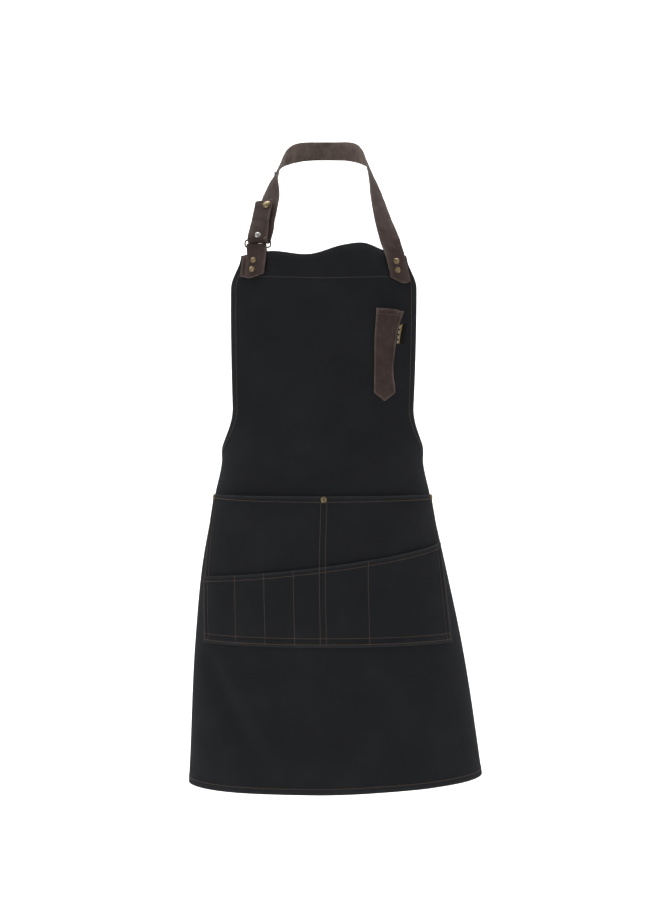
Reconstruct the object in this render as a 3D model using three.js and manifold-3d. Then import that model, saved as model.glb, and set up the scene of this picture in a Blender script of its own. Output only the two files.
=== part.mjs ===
// A bib apron with a leather-look halter, shown in the shape it takes when it is worn.
// Millimetres, +Z up. The wearer faces -Y. The origin is the middle of the neck strap's
// inner face at the nape, which is the place that the apron hangs from.
import * as THREE from 'three';
import { mergeVertices } from 'three/addons/utils/BufferGeometryUtils.js';
import Module from 'manifold-3d';

const wasm = await Module();
wasm.setup();

// ---- Driving dimensions ----

// Cloth
const clothThickness = 1.2;
const layerGap = 0.4;
const pocketSeat = 0.9;
const bibTopDrop = 186;
const apronLength = 768;
const apronWidth = 640;
const bibTopWidth = 244;
const bibWidth = 276;
const bibShoulderHeight = 48;
const armholeTopBelowBib = 219;
const armholeHeight = 95;
const hemTilt = 0.024;
const facingHeight = 36;
const facetWidth = 16;

// The body that the cloth hangs on: level ellipses, from the chest down to the hem
const chestHalfWidth = 187;
const bustHalfWidth = 190;
const waistHalfWidth = 150;
const pocketMouthHalfWidth = 160;
const hemHalfWidth = 219;
const chestDepth = 76;
const bustDepth = 92;
const waistDepth = 94;
const hemDepth = 112;
const skirtDrift = 17;

// Waist pockets
const pocketWidth = 384;
const pocketMouthBelowBib = 348;
const pocketHeight = 214;
const pocketGap = 7;
const seamWidth = 11;
const seamRise = 6;
const lowerMouthDrop = 100;
const lowerMouthSlope = 0.129;
const lowerMouthCurve = 0.000145;
const lowerDividers = [-135, -90, -47, 61];

// Pen pocket and its side label
const penPocketTopBelowBib = 79;
const penPocketHeight = 121;
const penPocketTip = 12;
const penPocketLeft = 73;
const penPocketWidth = 35;
const penPocketFlare = 8;
const penSeamWidth = 4;
const labelWidth = 11;
const labelHeight = 28;
const labelThickness = 1;
const labelBelowPocketTop = 22;
const labelGap = 1;

// Halter strap, ring and snaps
const strapWidth = 29;
const strapThickness = 2.4;
const napeFlat = 14;
const swingHeightAboveBib = 23;
const swingY = -152;
const swingGap = 1.8;
const strapLean = 24.4;
const ringWidth = 41;
const ringWire = 2.4;
const ringX = -98;
const ringChamfer = 0.6;
const ringCorner = 3;
const foldClearance = 1.1;
const foldToLoop = 1.1;
const ringPitch = ringWire + 2 * (strapThickness + foldClearance) + foldToLoop;
const layerShift = 1.5;
const flapLength = 68;
const snapSpacing = 58;
const snapDiameter = 12.4;
const snapSeat = 0.7;
const studDiameter = 8.6;
const knobDiameter = 3.8;
const knobHeight = 1.5;
const studBase = 0.8;
const socketHeight = 1.9;
const socketWall = 0.7;
const patchWidth = 36;
const patchHeight = 38;
const patchPoint = 9;
const patchCentre = 105;
const hollowGap = 1.5;
const loopShift = 2.5;

// Rivets
const rivetDiameter = 9;
const rivetHeadHeight = 2.2;
const rivetShankDiameter = 3;
const rivetHoleClearance = 0.3;
const rivetSpacing = 13.5;
const rivetBelowBibTop = 9;
const pocketRivetInset = 7;

// Waist ties
const tieWidth = 25;
const tieThickness = 1.2;
const tieOverlap = 26;
const tieBelowCorner = 5;
const bowLoopLength = 78;
const bowTailLength = 210;
const bowDroop = 0.0022;
const tailDrop = 5;
const knotWidth = 24;
const knotDepth = 6;

const canvasColor = 0x222326;
const leatherColor = 0x4e4340;
const brassColor = 0x7c6c40;
const steelColor = 0x9a9a98;
const darkMetalColor = 0x35332f;
const labelColor = 0x1b1b1c;

// ---- Values worked out from the sizes above ----

const halfWidth = apronWidth / 2;
const hemDrop = bibTopDrop + apronLength;
const armholeTopDrop = bibTopDrop + armholeTopBelowBib;
const cornerDrop = armholeTopDrop + armholeHeight;
const pocketTopDrop = bibTopDrop + pocketMouthBelowBib;
const pocketBottomDrop = pocketTopDrop + pocketHeight;
const swingZ = -(bibTopDrop - swingHeightAboveBib);
const pocketStack = clothThickness + pocketSeat;

const group = new THREE.Group();

function finish(color, roughness, metalness) {
  return new THREE.MeshStandardMaterial({ color, roughness, metalness });
}

const canvas = finish(canvasColor, 0.95, 0);
const leather = finish(leatherColor, 0.7, 0);
const brass = finish(brassColor, 0.4, 1);
const steel = finish(steelColor, 0.35, 1);
const darkMetal = finish(darkMetalColor, 0.45, 1);
const labelCloth = finish(labelColor, 0.8, 0);

function addPiece(name, geometry, material) {
  const mesh = new THREE.Mesh(geometry, material.clone());
  mesh.name = name;
  group.add(mesh);
  return mesh;
}

// ---- Closed solids from grids ----

// at(column, row, outer) gives a corner of the sheet's inner or outer face, and the rim joins them.
function closedSheet(columns, rows, at) {
  const positions = [];
  for (const outer of [0, 1]) {
    for (let r = 0; r <= rows; r++) {
      for (let c = 0; c <= columns; c++) positions.push(...at(c, r, outer).toArray());
    }
  }
  const layer = (columns + 1) * (rows + 1);
  const id = (c, r, outer) => outer * layer + r * (columns + 1) + c;
  const faces = [];
  const quad = (a, b, c, d) => faces.push(a, b, c, a, c, d);
  for (let r = 0; r < rows; r++) {
    for (let c = 0; c < columns; c++) {
      quad(id(c, r, 1), id(c + 1, r, 1), id(c + 1, r + 1, 1), id(c, r + 1, 1));
      quad(id(c, r, 0), id(c, r + 1, 0), id(c + 1, r + 1, 0), id(c + 1, r, 0));
    }
  }
  for (let c = 0; c < columns; c++) {
    quad(id(c, 0, 0), id(c + 1, 0, 0), id(c + 1, 0, 1), id(c, 0, 1));
    quad(id(c, rows, 1), id(c + 1, rows, 1), id(c + 1, rows, 0), id(c, rows, 0));
  }
  for (let r = 0; r < rows; r++) {
    quad(id(0, r, 1), id(0, r + 1, 1), id(0, r + 1, 0), id(0, r, 0));
    quad(id(columns, r, 0), id(columns, r + 1, 0), id(columns, r + 1, 1), id(columns, r, 1));
  }
  return facingOut(positions, faces);
}

function facingOut(positions, faces) {
  const corner = (k) => new THREE.Vector3().fromArray(positions, 3 * faces[k]);
  let volume = 0;
  for (let f = 0; f < faces.length; f += 3) {
    volume += corner(f).dot(corner(f + 1).cross(corner(f + 2)));
  }
  if (volume < 0) faces.reverse();
  const geometry = new THREE.BufferGeometry();
  geometry.setAttribute('position', new THREE.Float32BufferAttribute(positions, 3));
  geometry.setIndex(faces);
  geometry.computeVertexNormals();
  return geometry;
}

// ---- Cutting with manifold-3d ----

function toSolid(geometry) {
  const bare = geometry.clone();
  bare.deleteAttribute('normal');
  bare.deleteAttribute('uv');
  const merged = mergeVertices(bare, 1e-4);
  return new wasm.Manifold(new wasm.Mesh({
    numProp: 3,
    vertProperties: new Float32Array(merged.attributes.position.array),
    triVerts: new Uint32Array(merged.index.array),
  }));
}

function toGeometry(solid) {
  const mesh = solid.getMesh();
  const geometry = new THREE.BufferGeometry();
  geometry.setAttribute('position', new THREE.Float32BufferAttribute(mesh.vertProperties, 3));
  geometry.setIndex(new THREE.Uint32BufferAttribute(mesh.triVerts, 1));
  geometry.computeVertexNormals();
  return geometry;
}

// Holes are round bars along each fastener's axis, taken away from the sheet.
function drilled(geometry, fasteners) {
  let solid = toSolid(geometry);
  for (const { at, axis } of fasteners) {
    const radius = rivetShankDiameter / 2 + rivetHoleClearance;
    const bar = new THREE.CylinderGeometry(radius, radius, 30, 10);
    bar.applyQuaternion(new THREE.Quaternion().setFromUnitVectors(new THREE.Vector3(0, 1, 0), axis));
    bar.translate(at.x, at.y, at.z);
    solid = solid.subtract(toSolid(bar));
  }
  return toGeometry(solid);
}

// ---- The surface that the cloth follows ----

const formSections = [
  { drop: bibTopDrop - 36, half: chestHalfWidth - 1, depth: chestDepth - 6, front: 160, shift: -3 },
  { drop: bibTopDrop - 6, half: chestHalfWidth, depth: chestDepth, front: 168, shift: -3 },
  { drop: bibTopDrop + 74, half: bustHalfWidth, depth: bustDepth, front: 188, shift: -3 },
  { drop: armholeTopDrop, half: bustHalfWidth - 22, depth: waistDepth, front: 192, shift: -4 },
  { drop: cornerDrop - 23, half: waistHalfWidth, depth: waistDepth, front: 194, shift: -5 },
  { drop: pocketTopDrop, half: pocketMouthHalfWidth, depth: waistDepth + 1, front: 195, shift: -5 },
  { drop: pocketTopDrop + 106, half: pocketMouthHalfWidth + 21, depth: waistDepth + 2, front: 196, shift: -3 },
  { drop: pocketBottomDrop + 1, half: hemHalfWidth - 21, depth: hemDepth - 13, front: 198, shift: 3 },
  { drop: hemDrop, half: hemHalfWidth, depth: hemDepth, front: 212, shift: skirtDrift - 3 },
];

const drops = formSections.map((section) => section.drop);
const stack = formSections.flatMap((section) => [section.half, section.depth, section.front, section.shift]);
const formCurve = new THREE.CubicInterpolant(drops, stack, 4);

function sectionAt(z) {
  const clamped = THREE.MathUtils.clamp(-z, drops[0], drops[drops.length - 1]);
  const [half, depth, front, shift] = formCurve.evaluate(clamped);
  return { half, depth, centreX: shift, centreY: depth - front };
}

// The point at a distance u round the section, measured from the middle of the front.
function roundSection(u, z) {
  const { half, depth, centreX, centreY } = sectionAt(z);
  const step = Math.PI / 360;
  let angle = 0;
  let travelled = 0;
  let length = 0;
  while (angle < Math.PI) {
    length = Math.hypot(half * Math.cos(angle + step / 2), depth * Math.sin(angle + step / 2)) * step;
    if (travelled + length > Math.abs(u)) break;
    travelled += length;
    angle += step;
  }
  angle += step * (Math.abs(u) - travelled) / length;
  const side = Math.sign(u) || 1;
  return new THREE.Vector3(centreX + side * half * Math.sin(angle), centreY - depth * Math.cos(angle), z);
}

function outwardAt(u, z) {
  const across = roundSection(u + 1, z).sub(roundSection(u - 1, z));
  const down = roundSection(u, z - 2).sub(roundSection(u, z + 2));
  return down.cross(across).normalize();
}

// The surface is faceted round the body, so that layers lying on each other stay parallel.
const facets = new Map();

function facetCorner(k, z) {
  const key = `${k}/${z.toFixed(4)}`;
  if (!facets.has(key)) {
    const u = k * facetWidth;
    facets.set(key, { point: roundSection(u, z), outward: outwardAt(u, z) });
  }
  return facets.get(key);
}

function outwardOn(u, z) {
  const k = Math.floor(u / facetWidth);
  const share = u / facetWidth - k;
  return facetCorner(k, z).outward.clone().lerp(facetCorner(k + 1, z).outward, share).normalize();
}

function clothPoint(u, z, offset = 0) {
  const k = Math.floor(u / facetWidth);
  const share = u / facetWidth - k;
  const low = facetCorner(k, z);
  const high = facetCorner(k + 1, z);
  const a = low.point.clone().addScaledVector(low.outward, offset);
  const b = high.point.clone().addScaledVector(high.outward, offset);
  return a.lerp(b, share);
}

const between = THREE.MathUtils.lerp;
const smooth = THREE.MathUtils.smoothstep;

// ---- Apron panel ----

// The top hem dips left of the middle and stands up right of it.
const topHemShares = [-1, -0.65, -0.15, 0.24, 0.48, 0.71, 1];
const topHemRises = [0, 6, 1, 15, 18, 8, 0];
const topHem = new THREE.CubicInterpolant(topHemShares, topHemRises, 1);

function topHemZ(share) {
  return -bibTopDrop + topHem.evaluate(THREE.MathUtils.clamp(share, -1, 1))[0];
}

function panelHalfWidth(drop) {
  const shoulder = smooth(drop, bibTopDrop, bibTopDrop + bibShoulderHeight);
  const bibHalf = between(bibTopWidth, bibWidth, shoulder) / 2;
  const share = THREE.MathUtils.clamp((drop - armholeTopDrop) / armholeHeight, 0, 1);
  return halfWidth - (halfWidth - bibHalf) * Math.sqrt(1 - share * share);
}

const panelDrops = [];
for (let k = 0; k < 7; k++) panelDrops.push(between(bibTopDrop, armholeTopDrop, k / 7));
for (let k = 0; k < 7; k++) panelDrops.push(armholeTopDrop + armholeHeight * Math.sin(k / 7 * Math.PI / 2));
panelDrops.push(cornerDrop);
panelDrops.push(pocketTopDrop);
for (let k = 1; k <= 8; k++) panelDrops.push(between(pocketTopDrop, pocketBottomDrop, k / 8));
for (let k = 1; k <= 4; k++) panelDrops.push(between(pocketBottomDrop, hemDrop, k / 4));

function panelSpot(share, drop) {
  const u = share * panelHalfWidth(drop);
  const rise = Math.max(0, 1 - (drop - bibTopDrop) / (armholeTopDrop - bibTopDrop));
  const wave = (topHemZ(share) + bibTopDrop) * rise ** 3;
  const skirt = smooth(drop, pocketBottomDrop, hemDrop);
  return { u, z: -drop + wave + hemTilt * u * skirt };
}

const panelColumns = Math.round(apronWidth / facetWidth);

function panelSheet(drops, insideBy, edge = 1) {
  return closedSheet(panelColumns, drops.length - 1, (c, r, outer) => {
    const { u, z } = panelSpot(edge * (2 * c / panelColumns - 1), drops[r]);
    return clothPoint(u, z, -insideBy - (outer ? 0 : clothThickness));
  });
}

// ---- Waist pockets ----

// 0 on a seam and 1 where the cloth stands off and leaves the pocket open.
function openness(u, seams, edgeU) {
  let nearest = edgeU - seamWidth - Math.abs(u);
  for (const seam of seams) nearest = Math.min(nearest, Math.abs(u - seam) - seamWidth / 2);
  return THREE.MathUtils.clamp(nearest / seamRise, 0, 1);
}

function bottomOpenness(z) {
  return THREE.MathUtils.clamp((z + pocketBottomDrop - seamWidth) / seamRise, 0, 1);
}

const pocketHalf = pocketWidth / 2;
const allSeams = [0, ...lowerDividers];
const pocketStations = new Set([-pocketHalf, pocketHalf]);
for (const side of [-1, 1]) {
  pocketStations.add(side * (pocketHalf - seamWidth));
  pocketStations.add(side * (pocketHalf - seamWidth - seamRise));
  for (const seam of allSeams) {
    pocketStations.add(seam + side * seamWidth / 2);
    pocketStations.add(seam + side * (seamWidth / 2 + seamRise));
  }
}
for (let k = -Math.floor(pocketHalf / facetWidth); k <= pocketHalf / facetWidth; k++) {
  pocketStations.add(k * facetWidth);
}
const pocketColumns = [...pocketStations].sort((a, b) => a - b)
  .filter((u, k, all) => k === 0 || u - all[k - 1] > 0.01);

const seamRows = [-pocketBottomDrop, -pocketBottomDrop + seamWidth, -pocketBottomDrop + seamWidth + seamRise];
const panelRowsBehind = panelDrops.map((drop) => -drop)
  .filter((z) => z > seamRows[2] + 1 && z <= -pocketTopDrop);
const pocketRows = [...seamRows, ...panelRowsBehind.sort((a, b) => a - b)];

function upperOffset(u, z) {
  return pocketSeat + pocketGap * openness(u, [0], pocketHalf) * bottomOpenness(z);
}

function lowerMouthZ(u) {
  return -pocketTopDrop - lowerMouthDrop + lowerMouthSlope * u + lowerMouthCurve * u * u;
}

function lowerOffset(u, z) {
  const lift = pocketGap * openness(u, allSeams, pocketHalf) * bottomOpenness(z);
  return upperOffset(u, z) + pocketStack + lift;
}

function pocketSheet(rows, offsetAt) {
  return closedSheet(pocketColumns.length - 1, rows.length - 1, (c, r, outer) => {
    const u = pocketColumns[c];
    const z = rows[r](u);
    return clothPoint(u, z, offsetAt(u, z) + (outer ? clothThickness : 0));
  });
}

const lowestMouth = Math.min(...pocketColumns.map(lowerMouthZ));
const lowerRows = pocketRows.filter((z) => z < lowestMouth - 6).map((z) => () => z);
lowerRows.push(lowerMouthZ);

// ---- Rivets and the layers that they hold ----

const strapLayers = { patch: layerGap, strap: layerGap * 2 + clothThickness };
const strapTop = strapLayers.strap + strapThickness;
const facingBack = -(2 * clothThickness + layerGap);
const tailBack = facingBack - hollowGap - strapThickness;

function fastener(u, z) {
  return { u, z, at: clothPoint(u, z), axis: outwardOn(u, z) };
}

const strapRivets = [];
for (const side of [-1, 1]) {
  for (const level of [0, 1]) {
    const z = -bibTopDrop - rivetBelowBibTop - level * rivetSpacing;
    const name = `${side < 0 ? 'left' : 'right'}_${level ? 'lower' : 'upper'}`;
    strapRivets.push({ name, side, ...fastener(side * (patchCentre + 3 * level), z) });
  }
}

const pocketRivets = [-1, 0, 1].map((side) => ({
  name: ['right_hand', 'centre', 'left_hand'][side + 1],
  ...fastener(side * (pocketHalf - pocketRivetInset), -pocketTopDrop - pocketRivetInset / 2),
}));

// The cap and shank are one turned piece; its back button is a second one.
function rivetPieces(name, rivet, front, back) {
  const headR = rivetDiameter / 2;
  const shankR = rivetShankDiameter / 2;
  const top = front + layerGap;
  const tip = back;
  const head = new THREE.LatheGeometry([
    new THREE.Vector2(0, tip),
    new THREE.Vector2(shankR, tip),
    new THREE.Vector2(shankR, top),
    new THREE.Vector2(headR, top),
    new THREE.Vector2(headR * 0.92, top + rivetHeadHeight * 0.55),
    new THREE.Vector2(headR * 0.55, top + rivetHeadHeight),
    new THREE.Vector2(0, top + rivetHeadHeight),
  ], 12);
  const button = new THREE.LatheGeometry([
    new THREE.Vector2(0, tip - layerGap - 1.2),
    new THREE.Vector2(headR * 0.8, tip - layerGap - 1.2),
    new THREE.Vector2(headR * 0.9, tip - layerGap),
    new THREE.Vector2(0, tip - layerGap),
  ], 12);
  for (const [label, shape] of [['rivet_cap', head], ['rivet_back', button]]) {
    const mesh = addPiece(`${label}_${name}`, shape, brass);
    mesh.quaternion.setFromUnitVectors(new THREE.Vector3(0, 1, 0), rivet.axis);
    mesh.position.copy(rivet.at);
  }
}

const leftRivets = strapRivets.filter((rivet) => rivet.side < 0);
const rightRivets = strapRivets.filter((rivet) => rivet.side > 0);

addPiece('apron_panel', drilled(panelSheet(panelDrops, 0), [...strapRivets, ...pocketRivets]), canvas);
const facingDrops = [0, 1 / 3, 2 / 3, 1].map((share) => bibTopDrop + 1 + share * facingHeight);
const facing = panelSheet(facingDrops, clothThickness + layerGap, 0.985);
addPiece('bib_facing', drilled(facing, strapRivets), canvas);
const upper = pocketSheet(pocketRows.map((z) => () => z), upperOffset);
addPiece('upper_pocket', drilled(upper, pocketRivets), canvas);
addPiece('lower_pocket', pocketSheet(lowerRows, lowerOffset), canvas);

for (const rivet of strapRivets) {
  const behind = rivet.side < 0 ? tailBack : facingBack;
  rivetPieces(`strap_${rivet.name}`, rivet, strapTop, behind);
}
for (const rivet of pocketRivets) {
  rivetPieces(`pocket_${rivet.name}`, rivet, pocketStack, -clothThickness);
}

// ---- Pen pocket and label ----

const penTopZ = -bibTopDrop - penPocketTopBelowBib;
const penRows = [0, 0.18, 0.4, 0.6, 0.78, 0.9, 1];

function penEdges(share) {
  const flare = penPocketFlare * (1 - smooth(share, 0, 0.4));
  return [penPocketLeft + flare * 0.2, penPocketLeft + penPocketWidth - 3 + flare];
}

const penShares = [0, penSeamWidth, penSeamWidth + seamRise]
  .map((distance) => distance / penPocketWidth);
const penColumns = [...penShares, 0.5, ...penShares.map((share) => 1 - share).reverse()];

const penPocket = closedSheet(penColumns.length - 1, penRows.length - 1, (c, r, outer) => {
  const [left, right] = penEdges(penRows[r]);
  const across = penColumns[c];
  const tip = penPocketTip * (1 - Math.abs(2 * across - 1));
  const u = between(left, right, across);
  const z = penTopZ - penRows[r] * (penPocketHeight + tip);
  const sides = THREE.MathUtils.clamp((Math.min(c, penColumns.length - 1 - c) - 1) / 1, 0, 1);
  const foot = r >= penRows.length - 2 ? 0 : 1;
  return clothPoint(u, z, layerGap + pocketGap * sides * foot + (outer ? clothThickness : 0));
});
addPiece('pen_pocket', penPocket, leather);

const labelTopZ = penTopZ - labelBelowPocketTop;
const label = closedSheet(1, 2, (c, r, outer) => {
  const z = labelTopZ - labelHeight * r / 2;
  const edge = penEdges(-(z - penTopZ) / penPocketHeight)[1];
  return clothPoint(edge + labelGap + c * labelWidth, z, layerGap * 2 + (outer ? labelThickness : 0));
});
addPiece('label_tag', label, labelCloth);

// ---- Leather patches under the strap ends ----

function patchSheet(side) {
  const columns = 4;
  return closedSheet(columns, 3, (c, r, outer) => {
    const across = c / columns;
    const u = side * (patchCentre - patchWidth / 2 + patchWidth * across + 4 * (r / 3));
    const rounded = patchPoint / 2 * Math.sin(across * Math.PI);
    const point = side < 0 ? rounded : patchPoint * Math.min(1, across * 4 / 3);
    const topZ = -bibTopDrop - 1;
    const z = between(topZ, topZ - patchHeight - point, r / 3);
    return clothPoint(u, z, layerGap + (outer ? clothThickness : 0));
  });
}

addPiece('strap_patch_left', drilled(patchSheet(-1), leftRivets), leather);
addPiece('strap_patch_right', drilled(patchSheet(1), rightRivets), leather);

// ---- Halter strap ----

const vector = (list) => new THREE.Vector3(...list);

// stations: a place on the band's middle line and the direction across it.
function bandFrame(stations) {
  const middle = new THREE.CatmullRomCurve3(stations.map((s) => vector(s.at)), false, 'centripetal');
  const across = new THREE.CatmullRomCurve3(stations.map((s) => vector(s.across)), false, 'centripetal');
  return (t) => {
    const side = across.getPoint(t).normalize();
    const outward = middle.getTangent(t).cross(side).normalize();
    return { point: middle.getPoint(t), side, outward };
  };
}

function strapBand(stations, segments, width = strapWidth, thickness = strapThickness) {
  const frame = bandFrame(stations);
  return closedSheet(1, segments, (c, r, outer) => {
    const { point, side, outward } = frame(r / segments);
    return point.addScaledVector(side, (c - 0.5) * width).addScaledVector(outward, (outer - 0.5) * thickness);
  });
}

const mid = strapThickness / 2;
const foldRadius = ringWire / 2 + foldClearance + mid;
const lean = THREE.MathUtils.degToRad(strapLean);
const inward = new THREE.Vector3(0, Math.cos(lean), -Math.sin(lean));
const upStrap = new THREE.Vector3(0.15, Math.sin(lean), Math.cos(lean)).normalize();
const upperBar = new THREE.Vector3(ringX, swingY, swingZ);
const flatAcross = vector([1, 0, 0]);
const turnedAcross = vector([0.9, -0.42, 0.04]).normalize();

// The two layers beside the ring run straight and parallel, a fold's width apart.
function layerStation(rise, layer) {
  const across = flatAcross.clone().lerp(turnedAcross, smooth(rise, 0, 36)).normalize();
  const out = upStrap.clone().cross(across).normalize();
  const shift = across.clone().multiplyScalar(layer * layerShift);
  const at = upperBar.clone().addScaledVector(upStrap, rise).add(shift);
  at.addScaledVector(out, layer * foldRadius);
  return { at: at.toArray(), across: across.toArray(), out };
}

// Four stations in line keep the middle of the strap flat, where it lies on the nape.
const nape = [-2, -1, 1, 2].map((k) => ({ at: [k * napeFlat / 2, mid, 0], across: [0, 0, 1] }));
const leftSide = [
  ...[0, 18, 36, 70].map((rise) => layerStation(rise, 1)),
  { at: [-80, -97, -70], across: [0.56, -0.67, 0.4] },
  { at: [-74, -76, -48], across: [0.41, -0.69, 0.56] },
  { at: [-63, -47, -22], across: [0.3, -0.4, 0.8] },
  { at: [-40, -14, -5], across: [0, -0.12, 0.97] },
];
const swingX = 93;
const rightSide = [
  { at: [38, -13, -4], across: [0, -0.12, 0.97] },
  { at: [58, -47, -21], across: [-0.3, -0.4, 0.8] },
  { at: [67, -75, -48], across: [-0.41, -0.69, 0.56] },
  { at: [72, -93, -69], across: [-0.53, -0.67, 0.45] },
  { at: [77, -113, -97], across: [-0.72, -0.6, 0.19] },
  { at: [84, -133, -130], across: [-0.85, -0.4, 0.03] },
  { at: [swingX, swingY, swingZ + swingGap / 2], across: [-1, 0, 0] },
];

// The strap passes through the ring: a half turn round its upper bar, before the back layer.
const foldSteps = 6;
const fold = [];
for (let k = foldSteps; k > 0; k--) {
  const angle = Math.PI * k / foldSteps;
  const at = upperBar.clone().addScaledVector(inward, foldRadius * Math.cos(angle));
  at.add(new THREE.Vector3(layerShift * Math.cos(angle), 0, 0));
  at.addScaledVector(new THREE.Vector3(0, Math.sin(lean), Math.cos(lean)), -foldRadius * Math.sin(angle));
  fold.push({ at: at.toArray(), across: [1, 0, 0] });
}
const neckStations = [...fold, ...leftSide, ...nape, ...rightSide];
const neckFrame = bandFrame(neckStations);

// The place on the left half of the strap, above the fold, that is nearest to a height.
function strapSpot(z) {
  let best = null;
  for (let t = 0.25; t < 0.55; t += 0.001) {
    const spot = neckFrame(t);
    if (!best || Math.abs(spot.point.z - z) < Math.abs(best.point.z - z)) best = spot;
  }
  return { at: best.point, axis: best.outward.negate() };
}

function layerSpot(rise, layer) {
  const station = layerStation(rise, layer);
  return { at: vector(station.at), axis: station.out.negate() };
}

const middleStud = strapSpot(layerStation(snapSpacing, 1).at[2]);
const upperStud = strapSpot(swingZ + 2 * snapSpacing - 4);
const lowerStud = layerSpot(swingGap / 2 + studDiameter / 2 + 2 * layerGap, -1);
const capSpot = {
  at: middleStud.at.clone().addScaledVector(middleStud.axis, 2 * foldRadius),
  axis: middleStud.axis,
};

const neckSegments = 3 * (neckStations.length - 1);
addPiece('neck_strap', drilled(strapBand(neckStations, neckSegments), [middleStud, upperStud]), leather);
const flapStations = [0, 0.25, 0.5, 1].map((share) => layerStation(swingGap / 2 + share * flapLength, -1));
addPiece('strap_flap', drilled(strapBand(flapStations, 8), [lowerStud, capSpot]), leather);

const endOffset = strapLayers.strap + mid;

function onBib(share, side, offset) {
  const u = side * (patchCentre - 3 + 9 * share);
  const z = -bibTopDrop - 3 - share * (patchHeight - 5);
  const across = clothPoint(u - 5, z).sub(clothPoint(u + 5, z)).multiplyScalar(side);
  return { at: clothPoint(u, z, offset).toArray(), across: across.toArray() };
}

const endPath = [
  { at: [swingX, swingY, swingZ - swingGap / 2], across: [-1, 0, 0] },
  ...[0, 0.5, 1].map((share) => onBib(share, 1, endOffset)),
];
addPiece('strap_end_right', drilled(strapBand(endPath, 10), rightRivets), leather);

// ---- Snap fastener: cap and socket on the flap, studs and their posts along the strap ----

function turned(profile) {
  return new THREE.LatheGeometry(profile.map(([r, h]) => new THREE.Vector2(r, h)), 14);
}

function place(name, geometry, spot, material, flip = 1) {
  const mesh = addPiece(name, geometry, material);
  mesh.quaternion.setFromUnitVectors(new THREE.Vector3(0, 1, 0), spot.axis.clone().multiplyScalar(flip));
  mesh.position.copy(spot.at);
}

const face = mid + snapSeat;
const capR = snapDiameter / 2;
const studR = studDiameter / 2;
const knobR = knobDiameter / 2;
const shankR = rivetShankDiameter / 2;

const snapCap = turned([
  [0, -mid], [shankR, -mid], [shankR, face], [capR, face], [capR, face + 0.8],
  [capR * 0.86, face + 1.9], [capR * 0.45, face + 2.5], [0, face + 2.5],
]);
place('snap_cap', snapCap, capSpot, brass);
const socket = turned([
  [0, -face - socketWall], [knobR + socketWall, -face - socketWall],
  [knobR + socketWall, -face - socketHeight],
  [studR + layerGap, -face - socketHeight], [studR + layerGap, -face], [0, -face],
]);
place('snap_socket', socket, capSpot, steel);

const stud = turned([
  [0, -mid], [shankR, -mid], [shankR, face], [studR, face], [studR, face + studBase],
  [knobR * 0.85, face + studBase], [knobR, face + studBase + knobHeight], [0, face + studBase + knobHeight],
]);
const post = turned([[0, -face - 0.8], [studR * 0.9, -face - 0.8], [studR, -face], [0, -face]]);
const studSpots = [['upper', upperStud, 1], ['middle', middleStud, 1], ['lower', lowerStud, -1]];
for (const [name, spot, flip] of studSpots) {
  place(`snap_stud_${name}`, stud, spot, steel, flip);
  place(`snap_post_${name}`, post, spot, steel, flip);
}

// ---- Ring, and the loop that ties it to the bib ----

function roundedRectangle(path, w, h, corner) {
  path.moveTo(-w + corner, -h);
  path.lineTo(w - corner, -h);
  path.quadraticCurveTo(w, -h, w, -h + corner);
  path.lineTo(w, h - corner);
  path.quadraticCurveTo(w, h, w - corner, h);
  path.lineTo(-w + corner, h);
  path.quadraticCurveTo(-w, h, -w, h - corner);
  path.lineTo(-w, -h + corner);
  path.quadraticCurveTo(-w, -h, -w + corner, -h);
  return path;
}

const loopMiddle = (strapLayers.strap + facingBack - hollowGap) / 2;
const lowerBar = clothPoint(-patchCentre + 3, swingZ - ringPitch, loopMiddle);
lowerBar.x = ringX;
const ringHalfHeight = upperBar.distanceTo(lowerBar) / 2 + ringWire / 2;
const ringOutline = roundedRectangle(new THREE.Shape(), ringWidth / 2, ringHalfHeight, ringCorner);
const ringInside = [ringWidth / 2 - ringWire, ringHalfHeight - ringWire, ringCorner - ringWire + ringChamfer];
ringOutline.holes.push(roundedRectangle(new THREE.Path(), ...ringInside));
const ring = new THREE.ExtrudeGeometry(ringOutline, {
  depth: ringWire - 2 * ringChamfer,
  bevelThickness: ringChamfer,
  bevelSize: ringChamfer,
  bevelOffset: -ringChamfer,
  bevelSegments: 1,
  curveSegments: 4,
});
ring.translate(0, 0, ringChamfer - ringWire / 2);
const ringMesh = addPiece('strap_ring', ring, darkMetal);
ringMesh.position.copy(upperBar).add(lowerBar).multiplyScalar(0.5);
ringMesh.rotation.x = Math.PI / 2 - Math.atan2(upperBar.y - lowerBar.y, upperBar.z - lowerBar.z);

const loopRadius = (strapLayers.strap - facingBack + hollowGap) / 2 + mid;
const loopTurn = [];
for (let k = 0; k <= foldSteps; k++) {
  const angle = Math.PI * k / foldSteps;
  const y = lowerBar.y - loopRadius * Math.cos(angle);
  const z = lowerBar.z + loopRadius * Math.sin(angle);
  loopTurn.push({ at: [ringX - loopShift, y, z], across: [1, 0, 0] });
}
const tailOffset = tailBack + mid;
const loopPath = [
  ...[1, 0.5, 0].map((share) => onBib(share, -1, endOffset)),
  ...loopTurn,
  ...[0, 0.5, 1].map((share) => onBib(share, -1, tailOffset)),
];
addPiece('strap_loop_left', drilled(strapBand(loopPath, 36), leftRivets), leather);

// ---- Waist ties, tied in a bow behind the wearer ----

const tieMiddleZ = -(cornerDrop + tieBelowCorner + tieWidth / 2);
const backSection = sectionAt(tieMiddleZ);
const halfRound = 2 * quarterLength(backSection);
const bowX = backSection.centreX;
const bowY = backSection.centreY + backSection.depth + layerGap + tieThickness;

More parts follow.
